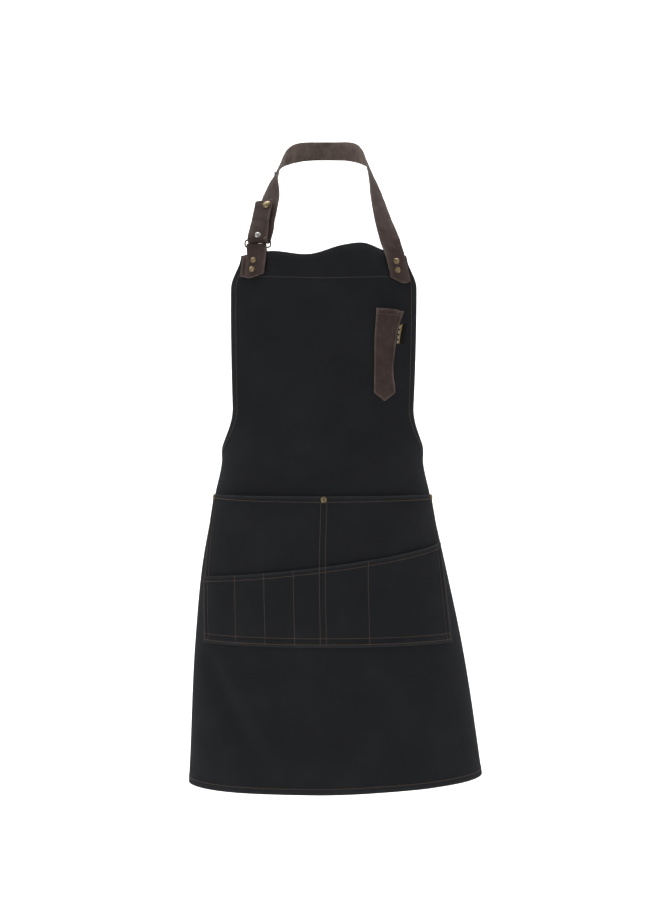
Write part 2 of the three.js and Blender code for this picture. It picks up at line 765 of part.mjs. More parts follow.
function quarterLength({ half, depth }) {
  const steps = 90;
  let length = 0;
  for (let k = 0; k < steps; k++) {
    const angle = (k + 0.5) / steps * Math.PI / 2;
    length += Math.hypot(half * Math.cos(angle), depth * Math.sin(angle)) * Math.PI / 2 / steps;
  }
  return length;
}

function tieSheet(side) {
  const start = halfWidth - tieOverlap;
  const end = halfRound - knotWidth / 2 - 2;
  const stations = [start];
  for (let u = Math.ceil(start / facetWidth) * facetWidth; u < end - 1; u += facetWidth) stations.push(u);
  stations.push(end);
  return closedSheet(stations.length - 1, 2, (c, r, outer) => {
    const z = tieMiddleZ + (r / 2 - 0.5) * tieWidth;
    return clothPoint(side * stations[c], z, layerGap + (outer ? tieThickness : 0));
  });
}

const knotY = bowY + knotDepth;
const loopProfile = [[0.17, -3], [0.5, -5], [0.82, -5], [1, -1], [0.98, 5], [0.8, 7], [0.5, 5], [0.17, 3]];

function bowLoop(side) {
  const stations = loopProfile.map(([reach, y]) => {
    const x = reach * bowLoopLength;
    return { at: [bowX + side * x, knotY + y, tieMiddleZ - bowDroop * x * x], across: [0, 0, 1] };
  });
  return strapBand(stations, 18, tieWidth, tieThickness);
}

const tailTopZ = tieMiddleZ - tieWidth / 2 - tailDrop;

function bowTail(side) {
  const stations = [[14, 0, 0], [19, 2, 0.3], [29, 0, 0.65], [31, -1, 1]].map(([x, y, share]) => ({
    at: [bowX + side * x, knotY + y, tailTopZ - share * bowTailLength],
    across: [1, 0, 0.1 * side],
  }));
  return strapBand(stations, 8, tieWidth, tieThickness);
}

const knot = new THREE.SphereGeometry(1, 14, 10);
knot.scale(knotWidth / 2, knotDepth, tieWidth / 2 + 2);
addPiece('tie_knot', knot, canvas).position.set(bowX, knotY, tieMiddleZ);
for (const [name, side] of [['right_hand', -1], ['left_hand', 1]]) {
  addPiece(`waist_tie_${name}`, tieSheet(side), canvas);
  addPiece(`tie_bow_loop_${name}`, bowLoop(side), canvas);
  addPiece(`tie_tail_${name}`, bowTail(side), canvas);
}

export default group;
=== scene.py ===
# A bib apron in black canvas, with a brown leather-look halter, worn and tied behind.
# Lengths in the dictionaries are millimetres, in the frame's own axes. The wearer faces -Y.
import math
import bpy
import bmesh
import numpy as np
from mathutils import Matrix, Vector


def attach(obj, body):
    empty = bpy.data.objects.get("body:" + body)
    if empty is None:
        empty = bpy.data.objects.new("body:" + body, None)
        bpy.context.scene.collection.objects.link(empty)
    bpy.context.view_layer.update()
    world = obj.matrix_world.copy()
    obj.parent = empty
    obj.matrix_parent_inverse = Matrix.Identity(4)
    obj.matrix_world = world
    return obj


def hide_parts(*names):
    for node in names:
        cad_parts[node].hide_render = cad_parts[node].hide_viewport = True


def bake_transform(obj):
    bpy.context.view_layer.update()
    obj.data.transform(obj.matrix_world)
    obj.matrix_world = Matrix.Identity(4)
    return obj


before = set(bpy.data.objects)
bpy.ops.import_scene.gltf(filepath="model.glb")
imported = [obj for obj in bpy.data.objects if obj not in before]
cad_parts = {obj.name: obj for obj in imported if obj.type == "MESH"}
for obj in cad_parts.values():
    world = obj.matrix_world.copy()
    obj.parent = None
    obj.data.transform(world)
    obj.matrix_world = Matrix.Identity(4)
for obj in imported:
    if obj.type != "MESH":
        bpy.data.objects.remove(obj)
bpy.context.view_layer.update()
mm = 0.001
print("frame loaded:", len(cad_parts), "nodes")

# ---- camera, floor and light ----
view = {"place": (0.006, -2.095, -0.468), "lens": 53.5}
cameraData = bpy.data.cameras.new("camera")
cameraData.lens = view["lens"]
camera = bpy.data.objects.new("camera", cameraData)
camera.location = view["place"]
camera.rotation_euler = (math.radians(90), 0, 0)
bpy.context.collection.objects.link(camera)
bpy.context.scene.camera = camera
bpy.context.scene.view_settings.view_transform = "Standard"


def hexColor(text):
    channels = [int(text[k:k + 2], 16) / 255 for k in (1, 3, 5)]
    linear = [c / 12.92 if c <= 0.04045 else ((c + 0.055) / 1.055) ** 2.4 for c in channels]
    return (*linear, 1)


# adds a node and returns its outputs; a value that is a socket is linked, any other is set
def addNode(tree, kind, inputs=None, **settings):
    node = tree.nodes.new("ShaderNode" + kind if tree.type == "SHADER" else kind)
    for name, value in settings.items():
        setattr(node, name, value)
    for name, value in (inputs or {}).items():
        if isinstance(value, bpy.types.NodeSocket):
            tree.links.new(value, node.inputs[name])
        else:
            node.inputs[name].default_value = value
    return node.outputs


def newMaterial(name):
    material = bpy.data.materials.new(name)
    material.use_nodes = True
    material.node_tree.nodes.clear()
    return material, material.node_tree


# closes a material: the relief is a height socket, a strength and a depth in metres
def finishMaterial(material, tree, relief, values):
    height, strength, depth = relief
    bump = addNode(tree, "Bump", {"Height": height, "Strength": strength, "Distance": depth})[0]
    surface = addNode(tree, "BsdfPrincipled", {**values, "Normal": bump})[0]
    addNode(tree, "OutputMaterial", {"Surface": surface})
    return material


# scale of a wave texture whose bands repeat at a pitch in millimetres
def waveScale(pitch):
    return 2 * math.pi / 20 / (pitch * mm)


# ---- materials ----
# Cotton duck: plain woven from piece-dyed black yarn, so it is matt, with a faint grid and pale lint.
# The real yarns lie 0.6 mm apart; they are drawn at 1.1 mm, because finer ones don't show.
# the pale colour serves worn edges, lint and the painted highlight along the grooves of the bow's loops and
# tails
canvasLook = {"yarn": 1.1, "yarnColor": "#292a2d", "gapColor": "#1a1b1d", "fadedColor": "#36373a",
    "wornColor": "#4a4a4c", "slub": 14, "mottle": 70, "lint": 6}


def wovenCanvas(name, look):
    material, tree = newMaterial(name)
    place = addNode(tree, "UVMap", uv_map="cloth")[0]
    yarn = {"Vector": place, "Scale": waveScale(look["yarn"]), "Distortion": 0.6, "Detail": 1.0,
        "Detail Scale": 0.3}
    warp = addNode(tree, "TexWave", yarn, bands_direction="X")["Fac"]
    weft = addNode(tree, "TexWave", yarn, bands_direction="Y")["Fac"]
    check = addNode(tree, "TexChecker", {"Vector": place, "Scale": 1 / (look["yarn"] * mm)})["Fac"]
    weave = addNode(tree, "Mix", {0: check, 2: warp, 3: weft})[0]
    slub = addNode(tree, "TexNoise", {"Vector": place, "Scale": 1 / (look["slub"] * mm), "Detail": 6.0,
        "Roughness": 0.7})[0]
    mottle = addNode(tree, "TexNoise", {"Vector": place, "Scale": 1 / (look["mottle"] * mm),
        "Detail": 3.0})[0]
    fade = addNode(tree, "MapRange", {0: mottle, 1: 0.4, 2: 0.75, 3: 0.0, 4: 0.18})[0]
    yarns = addNode(tree, "Mix", {0: weave, 6: hexColor(look["gapColor"]), 7: hexColor(look["yarnColor"])},
        data_type="RGBA")[2]
    dyed = addNode(tree, "Mix", {0: fade, 6: yarns, 7: hexColor(look["fadedColor"])}, data_type="RGBA")[2]
    # this share holds edge wear and, on the bow's loops and tails, the painted highlight along their grooves
    worn = addNode(tree, "Attribute", attribute_name="wear")["Fac"]
    wornAndLitShare = addNode(tree, "Math", {0: worn, 1: slub}, operation="MULTIPLY")[0]
    edge = addNode(tree, "Mix", {0: wornAndLitShare, 6: dyed, 7: hexColor(look["wornColor"])}, data_type="RGBA")[2]
    lint = addNode(tree, "TexVoronoi", {"Vector": place, "Scale": 1 / (look["lint"] * mm)})[0]
    speck = addNode(tree, "MapRange", {0: lint, 1: 0.05, 2: 0.03, 3: 0.0, 4: 0.4})[0]
    color = addNode(tree, "Mix", {0: speck, 6: edge, 7: hexColor(look["wornColor"])}, data_type="RGBA")[2]
    height = addNode(tree, "Math", {0: slub, 1: 0.5, 2: weave}, operation="MULTIPLY_ADD")[0]
    return finishMaterial(material, tree, (height, 0.45, 0.25 * mm), {"Base Color": color, "Roughness": 0.95,
        "Specular IOR Level": 0.04, "Sheen Weight": 0.02, "Sheen Roughness": 0.5})


# Leather-look strap: brown coated cloth, pressed with a pebble grain, rubbed pale on edges and lining, and
# with a pale line painted along each groove beside the turned edges as a painted highlight.
# The pebbles are 0.7 mm across on the real strap and are drawn at 1.3 mm.
leatherLook = {"grain": 1.3, "dark": "#3a2f2c", "light": "#51433f", "worn": "#74665f", "cloud": 22}


def grainedLeather(name, look):
    material, tree = newMaterial(name)
    place = addNode(tree, "UVMap", uv_map="cloth")[0]
    grain = addNode(tree, "TexVoronoi", {"Vector": place, "Scale": 1 / (look["grain"] * mm)},
        feature="DISTANCE_TO_EDGE")[0]
    pebble = addNode(tree, "MapRange", {0: grain, 1: 0.0, 2: 0.25})[0]
    cloud = addNode(tree, "TexNoise", {"Vector": place, "Scale": 1 / (look["cloud"] * mm), "Detail": 7.0,
        "Roughness": 0.65})[0]
    spread = addNode(tree, "MapRange", {0: cloud, 1: 0.36, 2: 0.66})[0]
    tanned = addNode(tree, "Mix", {0: spread, 6: hexColor(look["dark"]), 7: hexColor(look["light"])},
        data_type="RGBA")[2]
    grooved = addNode(tree, "Mix", {0: pebble, 6: hexColor(look["dark"]), 7: tanned}, data_type="RGBA")[2]
    # this share holds edge wear, the pale lining and the painted highlight along the strap's grooves, all
    # mixed to the pale colour
    worn = addNode(tree, "Attribute", attribute_name="wear")["Fac"]
    patchiness = addNode(tree, "MapRange", {0: cloud, 1: 0.35, 2: 0.7, 3: 0.35, 4: 1.0})[0]
    wornAndLitShare = addNode(tree, "Math", {0: worn, 1: patchiness}, operation="MULTIPLY")[0]
    color = addNode(tree, "Mix", {0: wornAndLitShare, 6: grooved, 7: hexColor(look["worn"])}, data_type="RGBA")[2]
    rough = addNode(tree, "MapRange", {0: cloud, 1: 0.3, 2: 0.7, 3: 0.82, 4: 0.68})[0]
    height = addNode(tree, "Math", {0: cloud, 1: 1.5, 2: pebble}, operation="MULTIPLY_ADD")[0]
    return finishMaterial(material, tree, (height, 0.5, 0.2 * mm), {"Base Color": color, "Roughness": rough,
        "Specular IOR Level": 0.12})


# Plated metal: stamped and barrel finished, with a patina in spots about 3 mm across.
def platedMetal(name, bright, dull, roughness):
    material, tree = newMaterial(name)
    place = addNode(tree, "TexCoord")["Object"]
    patina = addNode(tree, "TexNoise", {"Vector": place, "Scale": 1 / (3 * mm), "Detail": 5.0,
        "Roughness": 0.7})[0]
    share = addNode(tree, "MapRange", {0: patina, 1: 0.38, 2: 0.62})[0]
    color = addNode(tree, "Mix", {0: share, 6: hexColor(dull), 7: hexColor(bright)}, data_type="RGBA")[2]
    rough = addNode(tree, "MapRange", {0: patina, 1: 0.3, 2: 0.7, 3: roughness + 0.12,
        4: roughness - 0.05})[0]
    return finishMaterial(material, tree, (patina, 0.25, 0.05 * mm), {"Base Color": color, "Metallic": 1.0,
        "Roughness": rough})


# Sewing thread: three-ply polyester with a turn every 0.6 mm, and a slight gloss along each stitch.
def sewingThread(name, color):
    material, tree = newMaterial(name)
    place = addNode(tree, "TexCoord")["Object"]
    ply = addNode(tree, "TexWave", {"Vector": place, "Scale": waveScale(0.6)},
        bands_direction="DIAGONAL")["Fac"]
    shadow = [c * 0.65 for c in hexColor(color)[:3]] + [1]
    return finishMaterial(material, tree, (ply, 0.4, 0.08 * mm), {"Roughness": 0.6, "Specular IOR Level": 0.3,
        "Base Color": addNode(tree, "Mix", {0: ply, 6: shadow, 7: hexColor(color)}, data_type="RGBA")[2]})


# Damask label: black satin weave with one gold stripe and a row of pale ticks, and no lettering.
# The twill's lines lie 0.7 mm apart; stripe and ticks are placed in millimetres from the sewn edge.
labelLook = {"twill": 0.7, "stripe": (2.3, 4.1), "ticks": (0.4, 1.8), "tickPitch": 3.6, "tickGap": 1.3}


def wovenLabel(name, look):
    material, tree = newMaterial(name)
    place = addNode(tree, "UVMap", uv_map="cloth")[0]
    across = addNode(tree, "SeparateXYZ", {0: place})[0]
    length = addNode(tree, "SeparateXYZ", {0: place})[1]
    bands = []
    for first, last in (look["stripe"], look["ticks"]):
        low = addNode(tree, "Math", {0: across, 1: first * mm}, operation="GREATER_THAN")[0]
        high = addNode(tree, "Math", {0: across, 1: last * mm}, operation="LESS_THAN")[0]
        bands.append(addNode(tree, "Math", {0: low, 1: high}, operation="MULTIPLY")[0])
    twill = addNode(tree, "TexWave", {"Vector": place, "Scale": waveScale(look["twill"])},
        bands_direction="DIAGONAL")["Fac"]
    beat = addNode(tree, "Math", {0: length, 1: look["tickPitch"] * mm}, operation="PINGPONG")[0]
    dash = addNode(tree, "Math", {0: beat, 1: look["tickGap"] * mm}, operation="GREATER_THAN")[0]
    marks = addNode(tree, "Math", {0: bands[1], 1: dash}, operation="MULTIPLY")[0]
    striped = addNode(tree, "Mix", {0: bands[0], 6: hexColor("#121214"), 7: hexColor("#9a7d42")},
        data_type="RGBA")[2]
    base = addNode(tree, "Mix", {0: marks, 6: striped, 7: hexColor("#b9b4ac")}, data_type="RGBA")[2]
    color = addNode(tree, "Mix", {0: twill, 6: base, 7: hexColor("#1c1c1e")}, data_type="RGBA")[2]
    woven = addNode(tree, "Mix", {0: 0.3, 6: base, 7: color}, data_type="RGBA")[2]
    return finishMaterial(material, tree, (twill, 0.3, 0.1 * mm), {"Base Color": woven, "Roughness": 0.75,
        "Specular IOR Level": 0.1})


canvas = wovenCanvas("woven cotton duck", canvasLook)
leather = grainedLeather("waxed leather-look strap", leatherLook)
brass = platedMetal("antiqued brass plate", "#9a8a68", "#574c37", 0.36)
nickel = platedMetal("nickel plated steel", "#c9c9c6", "#8e8e8a", 0.26)
gunmetal = platedMetal("gunmetal plated wire", "#4d4a47", "#2c2a28", 0.38)
brownThread = sewingThread("brown polyester thread", "#6b5747")
greyThread = sewingThread("grey polyester thread", "#5b564f")
label = wovenLabel("woven damask label", labelLook)
print("materials made")

# ---- the body shape that the cloth follows ----
# level ellipses: drop below the nape, half width, depth, front face, sideways shift
sections = np.array([
    (150, 186, 70, 160, -3), (180, 187, 76, 168, -3), (260, 190, 92, 188, -3), (405, 168, 94, 192, -4),
    (477, 150, 94, 194, -5), (534, 160, 95, 195, -5), (640, 181, 96, 196, -3), (749, 198, 99, 198, 3),
    (954, 219, 112, 212, 14)], float)


def hermite(x, knots, values):
    slopes = np.gradient(values, knots)
    k = np.clip(np.searchsorted(knots, x) - 1, 0, len(knots) - 2)
    width = knots[k + 1] - knots[k]
    t = np.clip((x - knots[k]) / width, 0, 1)
    return ((2 * t**3 - 3 * t**2 + 1) * values[k] + (t**3 - 2 * t**2 + t) * width * slopes[k]
        + (3 * t**2 - 2 * t**3) * values[k + 1] + (t**3 - t**2) * width * slopes[k + 1])


def sectionAt(z):
    return [hermite(np.clip(-z, 150, 962), sections[:, 0], sections[:, k]) for k in range(1, 5)]


# angle round the ellipse for each distance u from the middle of the front, tabled once
tableDrops = np.arange(150, 970, 5.0)
tableU = np.arange(0, 480, 4.0)
angles = np.linspace(0, math.pi, 721)
angleTable = np.zeros((len(tableDrops), len(tableU)))
for row, drop in enumerate(tableDrops):
    half, depth = [float(v) for v in sectionAt(np.array(-drop))[:2]]
    middles = (angles[1:] + angles[:-1]) / 2
    steps = np.hypot(half * np.cos(middles), depth * np.sin(middles)) * (angles[1] - angles[0])
    angleTable[row] = np.interp(tableU, np.concatenate(([0], np.cumsum(steps))), angles)


def formPoint(u, z):
    u, z = np.broadcast_arrays(np.asarray(u, float), np.asarray(z, float))
    half, depth, front, shift = sectionAt(z)
    r = np.clip((-z - tableDrops[0]) / 5, 0, len(tableDrops) - 1.001)
    c = np.clip(np.abs(u) / 4, 0, len(tableU) - 1.001)
    r0, c0 = r.astype(int), c.astype(int)
    fr, fc = r - r0, c - c0
    angle = ((angleTable[r0, c0] * (1 - fc) + angleTable[r0, c0 + 1] * fc) * (1 - fr)
        + (angleTable[r0 + 1, c0] * (1 - fc) + angleTable[r0 + 1, c0 + 1] * fc) * fr)
    x = shift + np.sign(u) * half * np.sin(angle)
    return np.stack((x, depth - front - depth * np.cos(angle), z), -1)


def unit(vectors):
    return vectors / np.maximum(np.linalg.norm(vectors, axis=-1, keepdims=True), 1e-9)


def outwardAt(u, z):
    across = formPoint(u + 2, z) - formPoint(u - 2, z)
    down = formPoint(u, z - 2) - formPoint(u, z + 2)
    return unit(np.cross(down, across))


def smooth(x, low, high):
    t = np.clip((x - low) / (high - low), 0, 1)
    return t * t * (3 - 2 * t)


# a soft ridge or, with a negative height, a valley along a line on the cloth
def crease(u, z, start, end, width, height):
    (u0, z0), (u1, z1) = start, end
    length = math.hypot(u1 - u0, z1 - z0)
    along = ((u - u0) * (u1 - u0) + (z - z0) * (z1 - z0)) / length
    off = ((u - u0) * (z1 - z0) - (z - z0) * (u1 - u0)) / length
    ends = smooth(along, -width, width) * (1 - smooth(along, length - width, length + width))
    return height * ends * np.exp(-(off / width) ** 2)


# folds and creases: (u, z) of start and end, half width, height
folds = [
    ((-190, -770), (-104, -905), 17, -4.5), ((-150, -772), (-62, -930), 22, 3.0),
    ((150, -790), (128, -950), 24, 3.5), ((70, -780), (58, -950), 26, -3.0),
    ((-10, -800), (-22, -950), 24, 2.5), ((-128, -268), (-60, -282), 6, 0.9),
    ((-126, -292), (-70, -300), 6, -0.7), ((-26, -505), (-3, -531), 5, 0.9),
    ((30, -498), (4, -531), 5, 0.9), ((-110, -470), (-30, -486), 8, 0.8),
    ((118, -462), (52, -480), 8, 0.8), ((-60, -236), (-100, -204), 7, 0.8),
    ((60, -240), (102, -208), 7, 0.8)]


def relief(u, z):
    loose = smooth(-z, 745, 940)
    total = 1.2 * loose * np.sin(u / 31 + 0.7) + 0.5 * np.sin(u / 57 + z / 83) * smooth(-z, 200, 300)
    for fold in folds:
        total = total + crease(u, z, *fold)
    return total


def clothPoint(u, z, lift=0.0):
    u, z = np.broadcast_arrays(np.asarray(u, float), np.asarray(z, float))
    height = relief(u, z) + lift
    return formPoint(u, z) + outwardAt(u, z) * height[..., None]


# ---- meshes from grids ----

def newObject(name, vertices, faces, materials, uv=None, wear=None, sharp=None):
    mesh = bpy.data.meshes.new(name)
    mesh.from_pydata([tuple(v * mm) for v in vertices], [], faces)
    for material in materials:
        mesh.materials.append(material)
    if uv is not None:
        layer = mesh.uv_layers.new(name="cloth")
        corners = np.zeros(len(mesh.loops), int)
        mesh.loops.foreach_get("vertex_index", corners)
        layer.data.foreach_set("uv", (np.asarray(uv)[corners] * mm).ravel())
    if wear is not None:
        wornAndLitShare = mesh.attributes.new("wear", "FLOAT", "POINT")
        wornAndLitShare.data.foreach_set("value", np.asarray(wear, float).ravel())
    form = bmesh.new()
    form.from_mesh(mesh)
    bmesh.ops.recalc_face_normals(form, faces=form.faces)
    form.to_mesh(mesh)
    form.free()
    mesh.shade_smooth()
    if sharp:
        mesh.set_sharp_from_angle(angle=math.radians(sharp))
    item = bpy.data.objects.new(name, mesh)
    bpy.context.collection.objects.link(item)
    return item


def quadGrid(rows, columns, start=0):
    return [(start + r * columns + c, start + r * columns + c + 1, start + (r + 1) * columns + c + 1,
        start + (r + 1) * columns + c) for r in range(rows - 1) for c in range(columns - 1)]


# faces of rows of points that close round on themselves
def wrapGrid(rows, count):
    return [(r + c, r + (c + 1) % count, r + count + (c + 1) % count, r + count + c)
        for r in range(0, (rows - 1) * count, count) for c in range(count)]


# a closed cloth sheet between an outer and an inner face, both given as rows of points
def clothSheet(name, outer, inner, uv, wear, material=None):
    rows, columns = outer.shape[:2]
    count = rows * columns
    faces = quadGrid(rows, columns) + [face[::-1] for face in quadGrid(rows, columns, count)]
    rim = [c for c in range(columns)] + [r * columns + columns - 1 for r in range(1, rows)]
    rim += [(rows - 1) * columns + c for c in range(columns - 2, -1, -1)]
    rim += [r * columns for r in range(rows - 2, 0, -1)]
    for a, b in zip(rim, rim[1:] + rim[:1]):
        faces.append((b, a, a + count, b + count))
    vertices = np.concatenate((outer.reshape(-1, 3), inner.reshape(-1, 3)))
    flat = np.stack((uv[0].ravel(), uv[1].ravel()), -1)
    return newObject(name, vertices, faces, [material or canvas], np.concatenate((flat, flat)),
        np.concatenate((wear.ravel(), wear.ravel())), sharp=50)


# stations that are close together at both edges, so that a hem's step is crisp
def spaced(low, high, step, edges):
    inner = np.linspace(low + edges[-1], high - edges[-1], max(2, round((high - low) / step)))
    return np.array([low + e for e in edges[:-1]] + list(inner) + [high - e for e in reversed(edges[:-1])])


# ---- apron panel ----
panel = {"thickness": 1.2, "topDrop": 186, "length": 768, "width": 640, "topWidth": 244, "bibWidth": 276,
    "shoulder": 48, "armholeBelow": 219, "armholeHeight": 95, "hemTilt": 0.024, "hem": 11,
    "hemRise": 0.7, "hemStitch": 8.5, "columnStep": 4.6, "rowStep": 4.6}
armholeTop = panel["topDrop"] + panel["armholeBelow"]
hemDrop = panel["topDrop"] + panel["length"]
pocketMouth, pocketBottom = 534, 748
waveShares = np.array([-1, -0.65, -0.15, 0.24, 0.48, 0.71, 1])
waveHeights = np.array([0, 6, 1, 15, 18, 8, 0], float)


def panelHalfWidth(drop):
    bib = panel["topWidth"] + (panel["bibWidth"] - panel["topWidth"]) * smooth(
        drop, panel["topDrop"], panel["topDrop"] + panel["shoulder"])
    share = np.clip((drop - armholeTop) / panel["armholeHeight"], 0, 1)
    return panel["width"] / 2 - (panel["width"] - bib) / 2 * np.sqrt(1 - share**2)


def panelHeight(u, drop):
    share = np.clip(u / panelHalfWidth(drop), -1, 1)
    rise = np.maximum(0, 1 - (drop - panel["topDrop"]) / panel["armholeBelow"])
    wave = hermite(share, waveShares, waveHeights) * rise**3
    tilt = panel["hemTilt"] * u * smooth(drop, pocketBottom, hemDrop)
    return -drop + wave + tilt


def panelGrid():
    edges = [0, 0.7, 2, panel["hem"] - 0.8, panel["hem"], panel["hem"] + 0.8]
    drops = spaced(panel["topDrop"], hemDrop, panel["rowStep"], edges)
    armhole = armholeTop + panel["armholeHeight"] * np.sin(np.linspace(0, math.pi / 2, 30))
    straight = drops[(drops < armholeTop) | (drops > armhole[-1])]
    drops = np.unique(np.round(np.concatenate((straight, armhole)), 3))
    distances = np.array(edges)
    inside = np.linspace(-1, 1, round(panel["width"] / panel["columnStep"]))
    rows = []
    for drop in drops:
        half = float(panelHalfWidth(np.array(drop)))
        rows.append(np.concatenate((-half + distances[:-1], inside * (half - distances[-1]),
            half - distances[-2::-1])))
    u = np.array(rows)
    drop = np.repeat(drops[:, None], u.shape[1], 1)
    return u, panelHeight(u, drop), drop


def edgeDistance(u, drop):
    side = panelHalfWidth(drop) - np.abs(u)
    slope = np.clip((drop - armholeTop) / panel["armholeHeight"], 0, 1)
    return np.minimum(side * (1 - 0.35 * slope * (slope < 1)), hemDrop - drop)


u, z, drop = panelGrid()
edge = edgeDistance(u, drop)
hemLift = panel["hemRise"] * (1 - smooth(edge, panel["hem"] - 0.8, panel["hem"] + 0.8))
wear = np.exp(-np.minimum(edge, drop - panel["topDrop"]) / 1.6)
outer = clothPoint(u, z, hemLift * 0.5)
inner = clothPoint(u, z, -panel["thickness"] - hemLift * 0.5)
apronPanel = clothSheet("apronPanel", outer, inner, (u, z), wear)

facing = {"width": 262, "height": 36, "gap": 0.4, "inset": 2.0}
shares = np.linspace(-1, 1, 70)
facingTop = panel["topDrop"] + 1
facingDrops = facingTop + np.array([0, 0.7, 3, 8, 14, 20, 26, 31, 34.6, 35.3, 36]) / 36 * facing["height"]
drop = np.repeat(facingDrops[:, None], len(shares), 1)
u = shares[None, :] * (panelHalfWidth(drop) - facing["inset"])
z = panelHeight(u, drop)
back = -panel["thickness"] - facing["gap"]
wear = np.exp(-(facingTop + facing["height"] - drop) / 1.6)
bibFacing = clothSheet("bibFacing", clothPoint(u, z, back), clothPoint(u, z, back - panel["thickness"]),
    (u, z), wear)
print("panel and facing made")

# ---- waist pockets ----
pocket = {"width": 384, "mouthDrop": pocketMouth, "bottomDrop": pocketBottom, "seat": 0.6,
    "thickness": 1.1, "mouthHem": 9,
    "hemRise": 0.8, "gape": 3.2, "dividers": (-133.5, -89, -46.5, 59.5), "lowerDrop": 100,
    "lowerSlope": 0.129, "lowerCurve": 0.000145, "lowerGape": 2.2, "step": 3.2}
pocketHalf = pocket["width"] / 2


def lowerMouth(u):
    rise = pocket["lowerSlope"] * u + pocket["lowerCurve"] * u * u
    return -pocket["mouthDrop"] - pocket["lowerDrop"] + rise


# how far the cloth stands off between its seams: 0 on a seam, 1 in the middle of a pocket
def bulge(u, seams):
    stops = np.array(sorted([-pocketHalf + 8, *seams, pocketHalf - 8]))
    k = np.clip(np.searchsorted(stops, u) - 1, 0, len(stops) - 2)
    share = np.clip((u - stops[k]) / (stops[k + 1] - stops[k]), 0, 1)
    return np.sin(share * math.pi) ** 0.8


def sideSteps(u, z, mouth):
    edge = np.minimum(pocketHalf - np.abs(u), z + pocket["bottomDrop"])
    folded = 1 - smooth(edge, 8.2, 9.6)
    band = 1 - smooth(mouth - z, pocket["mouthHem"] - 0.7, pocket["mouthHem"] + 0.7)
    return 0.45 * folded + pocket["hemRise"] * band * (1 - 0.5 * folded)


# the pocket seams hang plumb, so across the cloth they drift towards -X on their way down
def seamDrift(z):
    return 3 - 8 * np.clip((-z - pocket["mouthDrop"]) / (pocketBottom - pocketMouth), 0, 1)


def upperLift(u, z):
    mouth = -pocket["mouthDrop"]
    gape = pocket["gape"] * bulge(u - seamDrift(z), [0]) * (1 - 0.75 * smooth(mouth - z, 0, 120))
    return pocket["seat"] + gape * (1 - smooth(-z, 715, 740)) + sideSteps(u, z, mouth)


def lowerLift(u, z):
    mouth = lowerMouth(u)
    puff = bulge(u - seamDrift(z), [0, *pocket["dividers"]])
    gape = pocket["lowerGape"] * puff * (1 - 0.6 * smooth(mouth - z, 0, 70))
    return (upperLift(u, z) + pocket["thickness"] + 0.4 + gape * (1 - smooth(-z, 722, 742))
        + sideSteps(u, z, mouth))


def pocketPiece(name, mouthAt, lift):
    edges = [0, 0.7, 2, 8.2, 9.6]
    seams = [u for s in (0, *pocket["dividers"]) for u in (s - 1.2, s, s + 1.2)]
    even = spaced(-pocketHalf, pocketHalf, pocket["step"], edges)
    u = np.unique(np.round(np.concatenate((even, seams)), 2))
    rows = np.array([0, 0.7, 2, 5, 8.3, 9.7])
    tall = mouthAt(np.zeros(1))[0] + pocket["bottomDrop"]
    body = np.linspace(12, tall - 12, round(tall / 3.6))
    downs = np.concatenate((rows, body, tall - rows[::-1])) / tall
    u = np.repeat(u[None, :], len(downs), 0)
    top = mouthAt(u)
    z = top + (-pocket["bottomDrop"] - top) * downs[:, None]
    wear = np.exp(-np.minimum(top - z, np.minimum(z + pocket["bottomDrop"], pocketHalf - np.abs(u))) / 1.5)
    lifted = lift(u, z)
    outer, inner = clothPoint(u, z, lifted + pocket["thickness"]), clothPoint(u, z, lifted)
    return clothSheet(name, outer, inner, (u, z), wear)


def upperMouth(u):
    return np.full(np.shape(u), -pocket["mouthDrop"], float)


upperPocket = pocketPiece("upperPocket", upperMouth, upperLift)
lowerPocket = pocketPiece("lowerPocket", lowerMouth, lowerLift)
print("waist pockets made")

# ---- pen pocket and its label ----
pen = {"topZ": -265, "mouthSlope": 4, "height": 121, "tip": 12, "left": 73, "width": 35, "flare": 8,
    "seat": 0.5,
    "thickness": 1.3, "bulge": 4.6, "seam": 3.2, "flat": (40, 127)}
tag = {"width": 11, "height": 28, "below": 22, "gap": 1.9, "thickness": 0.6, "lift": 0.35}


# left and right edge at a share of the way down; the right one gapes at the mouth and draws in below
def penEdges(share):
    flare = pen["flare"] * (1 - smooth(share, 0, 0.4))
    right = hermite(np.clip(share, 0, 1), np.array([0, 0.15, 0.25, 0.4, 0.52, 0.7, 0.8, 0.92, 1]),
        np.array([43.6, 37.6, 34.4, 31.8, 30.2, 28.4, 29, 31.6, 32]))
    return pen["left"] + flare * 0.3, pen["left"] + right


def penPlace(across, down):
    left, right = penEdges(down)
    tip = pen["tip"] * (1 - np.abs(2 * across - 1))
    slope = pen["mouthSlope"] * across * (1 - down)
    return left + (right - left) * across, pen["topZ"] - slope - down * (pen["height"] + tip)


def penLift(across, down):
    edge = np.minimum(np.minimum(across, 1 - across) * pen["width"], (1 - down) * pen["height"])
    puff = smooth(edge, pen["seam"] - 0.4, pen["seam"] + 9) * (0.55 + 0.45 * (1 - smooth(down, 0.1, 0.9)))
    fold = 0.6 * (1 - smooth(edge, pen["seam"] - 0.6, pen["seam"] + 0.6))
    cuff = 0.7 * (1 - smooth(down * pen["height"], 8.4, 9.8))
    return pen["seat"] + pen["bulge"] * puff + fold + cuff


across = spaced(0, 1, 1 / 26, np.array([0, 0.6, 2, 3.0, 4.0]) / pen["width"])
down = np.concatenate((np.array([0, 0.6, 2, 5, 8.4, 9.8]) / pen["height"], np.linspace(0.1, 0.96, 50),
    [0.975, 0.985, 0.995, 1]))
across, down = np.meshgrid(across, down)
u, z = penPlace(across, down)
edge = np.minimum(np.minimum(across, 1 - across) * pen["width"], np.minimum(down, 1 - down) * pen["height"])
lift = penLift(across, down)
penPocket = clothSheet("penPocket", clothPoint(u, z, lift + pen["thickness"]), clothPoint(u, z, lift),
    (u, z), np.exp(-edge / 1.4), leather)

